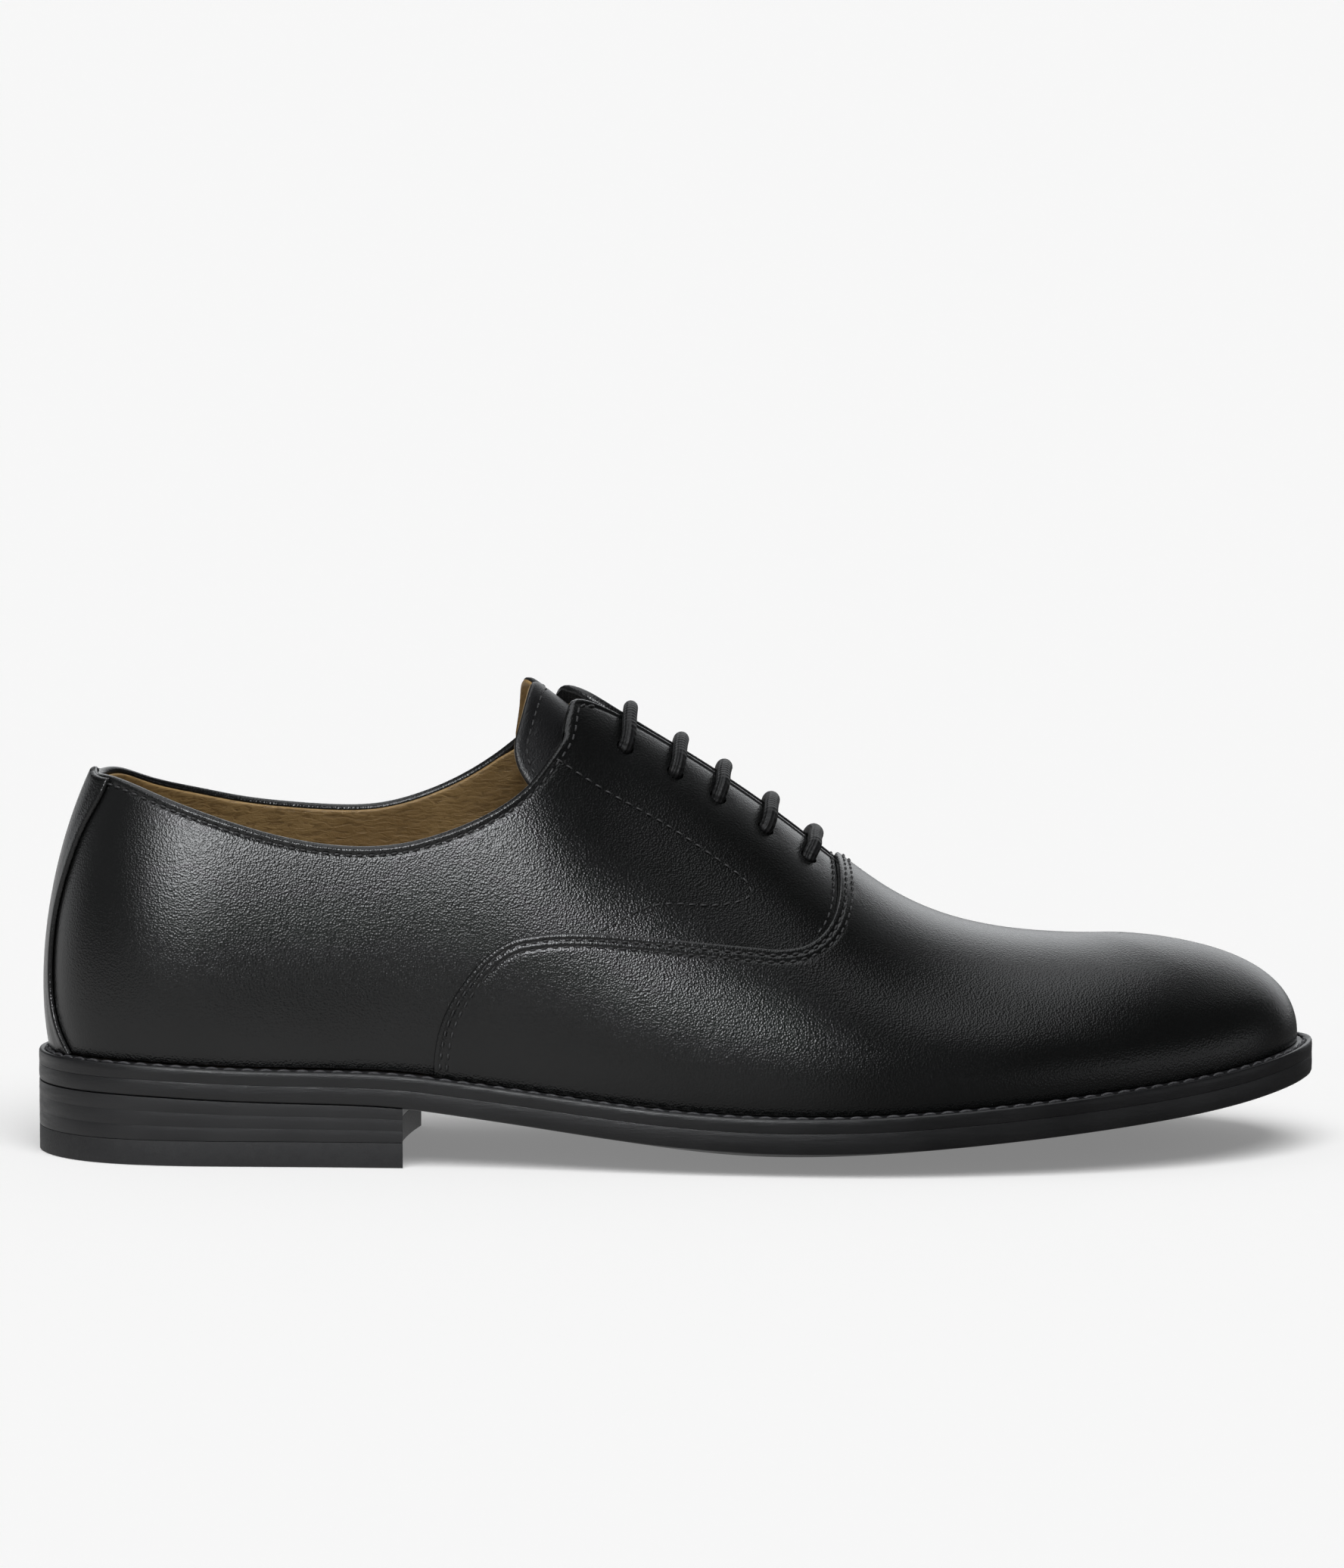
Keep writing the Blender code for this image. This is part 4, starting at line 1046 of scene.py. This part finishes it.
def mixed(tree, share, a, b):
    """A mix of two colours; the second may be a socket."""
    return node(tree, "Mix", {"Factor": share, 6: (*a, 1), 7: b if hasattr(b, "node") else (*b, 1)},
                data_type="RGBA").outputs[2]


def ramp(tree, value, low, high, a, b):
    """Maps value from low..high to a..b, as a number or a colour."""
    share = node(tree, "MapRange", {"Value": value, "From Min": low, "From Max": high}).outputs[0]
    if isinstance(a, tuple):
        return mixed(tree, share, a, b)
    return node(tree, "MapRange", {"Value": share, "To Min": a, "To Max": b}).outputs[0]


def smooth(tree, value, dark, bright):
    """0 at dark and beyond, 1 at bright and beyond, and smooth between them."""
    ends = (0.0, 1.0) if dark < bright else (1.0, 0.0)
    inputs = {"Value": value, "From Min": min(dark, bright), "From Max": max(dark, bright),
              "To Min": ends[0], "To Max": ends[1]}
    return node(tree, "MapRange", inputs, interpolation_type="SMOOTHSTEP").outputs[0]


def bumps(tree, *layers):
    """Bump maps on top of each other, each of (height, depth in millimetres, strength)."""
    under = None
    for height, depth, strength in layers:
        inputs = {"Height": height, "Distance": depth * MM, "Strength": strength}
        if under:
            inputs["Normal"] = under
        under = node(tree, "Bump", inputs).outputs[0]
    return under


def noise(tree, where, size, detail=2.0, rough=0.5):
    inputs = {"Vector": where, "Scale": 1 / (size * MM), "Detail": detail, "Roughness": rough}
    return node(tree, "TexNoise", inputs).outputs[0]


def grain_leather(name, dark, light, rough, cell, strength):
    """Smooth leather: pebbled grain, faint creases, and colour and gloss that drift."""
    made, tree, shader, where = blank(name)
    inputs = {"Vector": where, "Scale": 1 / (cell * MM), "Smoothness": 0.35}
    cells = node(tree, "TexVoronoi", inputs, feature="SMOOTH_F1").outputs["Distance"]
    fine = noise(tree, where, cell / 2.1, 3)
    slack = noise(tree, where, 11, 1)
    fill(tree, shader, {
        "Base Color": ramp(tree, noise(tree, where, 26, 2), 0.3, 0.7, dark, light),
        "Roughness": ramp(tree, fine, 0.25, 0.75, rough - 0.05, rough + 0.07),
        "Normal": bumps(tree, (slack, 0.06, 0.5), (cells, 0.095, strength),
                        (fine, 0.035, strength))})
    return made


def lining_leather(name, dark, light, rough):
    """Thin lining leather: fine grain crossed by soft wrinkles, with painted shade in the folds."""
    made, tree, shader, where = blank(name)
    stretched = node(tree, "Mapping", {"Vector": where, "Scale": (0.38, 0.45, 1.0)}).outputs[0]
    folds = node(tree, "TexNoise", {"Vector": stretched, "Scale": 1 / MM, "Detail": 3,
                                    "Distortion": 0.6}).outputs[0]
    broad, fine = noise(tree, where, 11, 2), noise(tree, where, 0.45, 3)
    colour = ramp(tree, noise(tree, where, 16, 3), 0.3, 0.7, dark, light)
    # Painted shade: the colour is darker in the wrinkles' folds, where the fold noise is low.
    painted_fold_shade = tuple(c * 0.82 for c in dark)
    fill(tree, shader, {
        "Base Color": mixed(tree, smooth(tree, folds, 0.36, 0.50), painted_fold_shade, colour),
        "Roughness": ramp(tree, fine, 0.3, 0.7, rough - 0.08, rough + 0.08),
        "Normal": bumps(tree, (broad, 0.8, 0.4), (folds, 0.35, 0.7), (fine, 0.08, 0.5))})
    return made


def edge_finish(name, dark, light, rough, layers, depth=0.25):
    """A dressed sole edge: thin lines along it, scuffs and a satin that varies."""
    made, tree, shader, where = blank(name)
    flat = node(tree, "Mapping", {"Vector": where, "Scale": (0.12, 0.12, 1.0)}).outputs[0]
    lines = noise(tree, flat, 10 / layers, 4, 0.7)
    speck = noise(tree, where, 0.8, 4, 0.6)
    fill(tree, shader, {
        "Base Color": ramp(tree, noise(tree, where, 20, 3), 0.3, 0.7, dark, light),
        "Roughness": ramp(tree, lines, 0.3, 0.7, rough - 0.07, rough + 0.1),
        "Normal": bumps(tree, (lines, depth, 0.35), (speck, 0.1, 0.3))})
    return made


def braid(name, colour, rough, pitch=2.4, strands=5):
    """A round braided cord, drawn in the cord's own coordinates."""
    made, tree, shader, where = blank(name)
    parts = node(tree, "SeparateXYZ", {"Vector": node(tree, "TexCoord").outputs["UV"]})
    s = maths(tree, "MULTIPLY", parts.outputs[0], 2 * math.pi / pitch)
    v = maths(tree, "MULTIPLY", parts.outputs[1], 2 * math.pi * strands)
    weave = fold(tree, "MULTIPLY", [maths(tree, "SINE", maths(tree, way, s, v))
                                    for way in ("ADD", "SUBTRACT")])
    fuzz = noise(tree, where, 0.25, 3, 0.6)
    fill(tree, shader, {
        "Base Color": ramp(tree, fuzz, 0.3, 0.7, colour, tuple(c * 2.2 for c in colour)),
        "Roughness": rough,
        "Normal": bumps(tree, (weave, 0.3, 0.55), (fuzz, 0.1, 0.4))})
    return made


def plain(name, dark, light, rough, size, metallic=0.0, depth=0.15):
    made, tree, shader, where = blank(name)
    coarse, fine = noise(tree, where, size, 4, 0.6), noise(tree, where, size / 4, 3)
    fill(tree, shader, {
        "Base Color": ramp(tree, coarse, 0.3, 0.7, dark, light),
        "Roughness": ramp(tree, fine, 0.3, 0.7, rough - 0.06, rough + 0.06),
        "Normal": bumps(tree, (fine, depth, 0.4)),
        "Metallic": metallic})
    return made


def woven(name, dark, light):
    made, tree, shader, where = blank(name)
    cloth = fold(tree, "MAXIMUM", [
        node(tree, "TexWave", {"Vector": where, "Scale": 1 / (2.4 * MM), "Distortion": 0.4},
             bands_direction=way).outputs["Fac"] for way in "XZ"])
    fill(tree, shader, {
        "Base Color": ramp(tree, cloth, 0.2, 1.0, dark, light),
        "Normal": bumps(tree, (cloth, 0.2, 0.6)),
        "Roughness": 0.9})
    return made


UPPER = grain_leather("black_calf", (0.0025, 0.0027, 0.0026), (0.0045, 0.0047, 0.0048),
                      0.21, 0.48, 0.6)
TONGUE_CALF = grain_leather("black_calf_tongue", (0.004, 0.004, 0.0045), (0.007, 0.007, 0.0078),
                            0.36, 0.42, 0.55)
TAN = lining_leather("tan_lining", (0.25, 0.155, 0.058), (0.33, 0.215, 0.085), 0.5)
SUEDE = plain("tan_suede", (0.28, 0.17, 0.07), (0.40, 0.26, 0.11), 0.85, 1.2)
WELT = edge_finish("black_welt", (0.003, 0.003, 0.0035), (0.008, 0.008, 0.0088), 0.36, 6)
SOLE = edge_finish("black_sole", (0.003, 0.003, 0.0035), (0.009, 0.009, 0.0098), 0.40, 8)
STACK = edge_finish("black_stack", (0.006, 0.006, 0.007), (0.014, 0.014, 0.015), 0.43, 9, 0.10)
RUBBER = plain("black_rubber", (0.010, 0.010, 0.011), (0.016, 0.016, 0.017), 0.62, 2.0)
LACE = braid("black_lace", (0.0018, 0.0018, 0.002), 0.55)
THREAD = plain("black_thread", (0.008, 0.008, 0.008), (0.045, 0.045, 0.047), 0.32, 0.3)
WELT_THREAD = plain("grey_thread", (0.02, 0.02, 0.022), (0.06, 0.06, 0.065), 0.5, 0.5)
CANVAS = woven("cotton_canvas", (0.40, 0.36, 0.29), (0.62, 0.57, 0.48))
TAPE = woven("black_tape", (0.004, 0.004, 0.004), (0.010, 0.010, 0.010))
BOARD = plain("fibre_board", (0.28, 0.19, 0.11), (0.42, 0.31, 0.20), 0.8, 1.0)
CORK = plain("cork", (0.30, 0.18, 0.08), (0.58, 0.40, 0.22), 0.9, 1.6, depth=0.4)
STEEL = plain("steel", (0.38, 0.38, 0.39), (0.52, 0.52, 0.53), 0.35, 1.5, 1.0, 0.03)
STAYING = {"fibre_board": BOARD, "canvas_lining": CANVAS, "steel": STEEL}


# ---- building it

for word, side in SIDES.items():
    quarter(word, side, UPPER)
    quarter_lining(word, side, TAN)
vamp(UPPER)
back_strip(UPPER)
heel_grip(SUEDE)
tongue(TONGUE_CALF, TAN)
welt(WELT)
outsole(SOLE)
heel(STACK, RUBBER)
sock_lining(TAN)
lace(LACE)
carried("vamp_lining", "vamp_lining_cloth", CANVAS)
carried("insole", "insole_board", BOARD)
carried("cork_filler", "cork_bed", CORK)
upper_stitches(THREAD)
welt_stitches(WELT_THREAD)

# The CAD nodes that stay: the hidden stiffeners, fittings and nails.
for part in frame["record"]["subparts"]:
    thing = frame["nodes"][part["node"]]
    if not thing.hide_render:
        stay = part["node"].startswith("facing_stay")
        thing.data.materials.clear()
        thing.data.materials.append(TAPE if stay else STAYING[part["material_slot"]])


# ---- the studio

CAMERA_PITCH = math.radians(6.4)
CAMERA_DISTANCE = 2.0
CAMERA_LENS, CAMERA_SENSOR = 191.63, 36
CAMERA_TARGET = Vector((0.1072, 0, 0.0875))
SKY_LIGHT = 0.215
BACKDROP = 0.93
SUN_LIGHT = 2.52
SUN_SPREAD = math.radians(50)
SUN_FROM = (0.05, -0.6, 1.0)
FLOOR_HALF = 40
FLOOR_DROP = 0.0001
FLOOR_GLOW = 0.21
# Painted shade: reflections see the floor dimmer towards the toe, standing in for the shoe's shadow
# on it.
FLOOR_REFLECTED_SHADE = (0.03, 0.17, 0.62, 0.10)   # x of the two ends, and how bright they're reflected
WHITE = (1, 1, 1, 1)
COOL = (0.96, 0.98, 1, 1)

# Lights that only reflections see: how bright, and the windows they shine through. A window is dark
# at its first value and bright at its second. The panel's are in metres, the boxes' along the unit
# direction they're seen in.
PANEL_Y = -0.6
PANEL_X = (-0.35, 0.1)
PANEL_Z = (0.1, 0.7)
PANEL = (19.0, ("x", -0.01, -0.10), ("x", -0.28, -0.15), ("z", 0.20, 0.32), ("z", 0.55, 0.42))
SOFT_BOXES = {
    "front": (4.2, ("y", 0.05, -0.2), ("z", 0.37, 0.50), ("z", 0.85, 0.50), ("x", -0.14, -0.36),
              ("x", -0.60, -0.40)),
    "above": (1.5, ("z", 0.72, 0.92), ("x", -0.55, -0.3), ("x", 0.32, 0.12)),
    "behind": (0.5, ("y", 0.05, 0.25), ("z", 0.05, 0.25), ("x", -0.3, 0.0), ("x", 0.74, 0.52),
               ("z", 1.0, 0.5)),
    "rear": (0.85, ("y", 0.55, 0.9), ("z", -0.05, 0.10), ("x", -0.5, -0.1)),
    "heel_side": (0.8, ("y", 0.05, 0.35), ("z", 0.3, -0.05), ("x", -0.3, -0.6)),
    "left": (0.17, ("x", 0.15, -0.15), ("y", 0.5, 0.1)),
    "right": (0.55, ("x", 0.25, 0.6), ("z", 0.34, 0.12), ("y", 0.3, 0.0)),
}
DIM = 0.03


def camera():
    data = bpy.data.cameras.new("camera")
    data.sensor_width = CAMERA_SENSOR
    data.lens = CAMERA_LENS
    thing = hang("camera", data)
    back = Vector((0, -math.cos(CAMERA_PITCH), math.sin(CAMERA_PITCH)))
    thing.location = CAMERA_TARGET + back * CAMERA_DISTANCE
    thing.rotation_euler = (math.pi / 2 - CAMERA_PITCH, 0, 0)
    bpy.context.scene.camera = thing


def windowed(tree, where, light):
    """How bright a light is at a place or in a direction, by its windows."""
    axes = dict(zip("xyz", node(tree, "SeparateXYZ", {"Vector": where}).outputs))
    strength, *windows = light
    shares = [smooth(tree, axes[axis], dark, bright) for axis, dark, bright in windows]
    return fold(tree, "MULTIPLY", shares + [strength])


def seen_glossy(tree, other, glossy):
    """One shader for reflections and another for every other ray."""
    ray = node(tree, "LightPath").outputs["Is Glossy Ray"]
    return node(tree, "MixShader", {0: ray, 1: other.outputs[0], 2: glossy.outputs[0]}).outputs[0]


def sheet(name, corners, look):
    mesh = bpy.data.meshes.new(name)
    mesh.from_pydata(corners, [], [(0, 1, 2, 3)])
    mesh.materials.append(look)
    return hang(name, mesh)


def floor():
    """A pale floor; where it's reflected in the shoe, painted shade makes it darker towards the
    toe.
    """
    made, tree, shader, _ = blank("pale_floor")
    fill(tree, shader, {"Base Color": (0.8, 0.8, 0.8, 1), "Roughness": 1.0,
                        "Specular IOR Level": 0.0, "Emission Color": WHITE,
                        "Emission Strength": FLOOR_GLOW})
    where = node(tree, "NewGeometry").outputs["Position"]
    x = node(tree, "SeparateXYZ", {"Vector": where}).outputs[0]
    # Painted shade: what reflections see of the floor falls from bright to dim along x.
    seen = node(tree, "Emission", {"Color": WHITE, "Strength": ramp(tree, x, *FLOOR_REFLECTED_SHADE)})
    fill(tree, tree.nodes["Material Output"], {0: seen_glossy(tree, shader, seen)})
    a, z = FLOOR_HALF, CAD_BOX[0].z - FLOOR_DROP
    sheet("floor", [(-a, -a, z), (a, -a, z), (a, a, z), (-a, a, z)], made)


def side_panel():
    """A glowing panel in front of the heel that only reflections see."""
    made, tree, _, _ = blank("panel_glow")
    where = node(tree, "NewGeometry").outputs["Position"]
    glow = node(tree, "Emission", {"Color": COOL, "Strength": windowed(tree, where, PANEL)})
    clear = node(tree, "BsdfTransparent")
    both = node(tree, "AddShader", {0: glow.outputs[0], 1: clear.outputs[0]})
    fill(tree, tree.nodes["Material Output"], {0: both.outputs[0]})
    (left, right), (low, high) = PANEL_X, PANEL_Z
    corners = [(left, low), (right, low), (right, high), (left, high)]
    thing = sheet("side_panel", [(x, PANEL_Y, z) for x, z in corners], made)
    for kind in ("camera", "diffuse", "shadow", "transmission"):
        setattr(thing, "visible_" + kind, False)


def sky():
    """Even white light, a pale backdrop for the camera, and soft boxes for reflections."""
    world = bpy.data.worlds.new("studio")
    bpy.context.scene.world = world
    world.use_nodes = True
    tree = world.node_tree
    tree.nodes.clear()
    direction = node(tree, "TexCoord").outputs["Generated"]
    light = fold(tree, "ADD", [windowed(tree, direction, box) for box in SOFT_BOXES.values()]
                 + [DIM])
    to_camera = node(tree, "LightPath").outputs["Is Camera Ray"]
    even = maths(tree, "MULTIPLY_ADD", to_camera, BACKDROP - SKY_LIGHT, SKY_LIGHT)
    other = node(tree, "Background", {"Color": WHITE, "Strength": even})
    glossy = node(tree, "Background", {"Color": COOL, "Strength": light})
    node(tree, "OutputWorld", {0: seen_glossy(tree, other, glossy)})


def sun():
    """The light that casts the soft shadow behind the shoe and to its right."""
    data = bpy.data.lights.new("overhead", "SUN")
    data.energy = SUN_LIGHT
    data.angle = SUN_SPREAD
    thing = hang("overhead", data)
    thing.rotation_euler = Vector(SUN_FROM).to_track_quat("Z", "Y").to_euler()
    thing.visible_glossy = False


camera()
floor()
side_panel()
sky()
sun()
bpy.context.scene.view_settings.view_transform = "Standard"
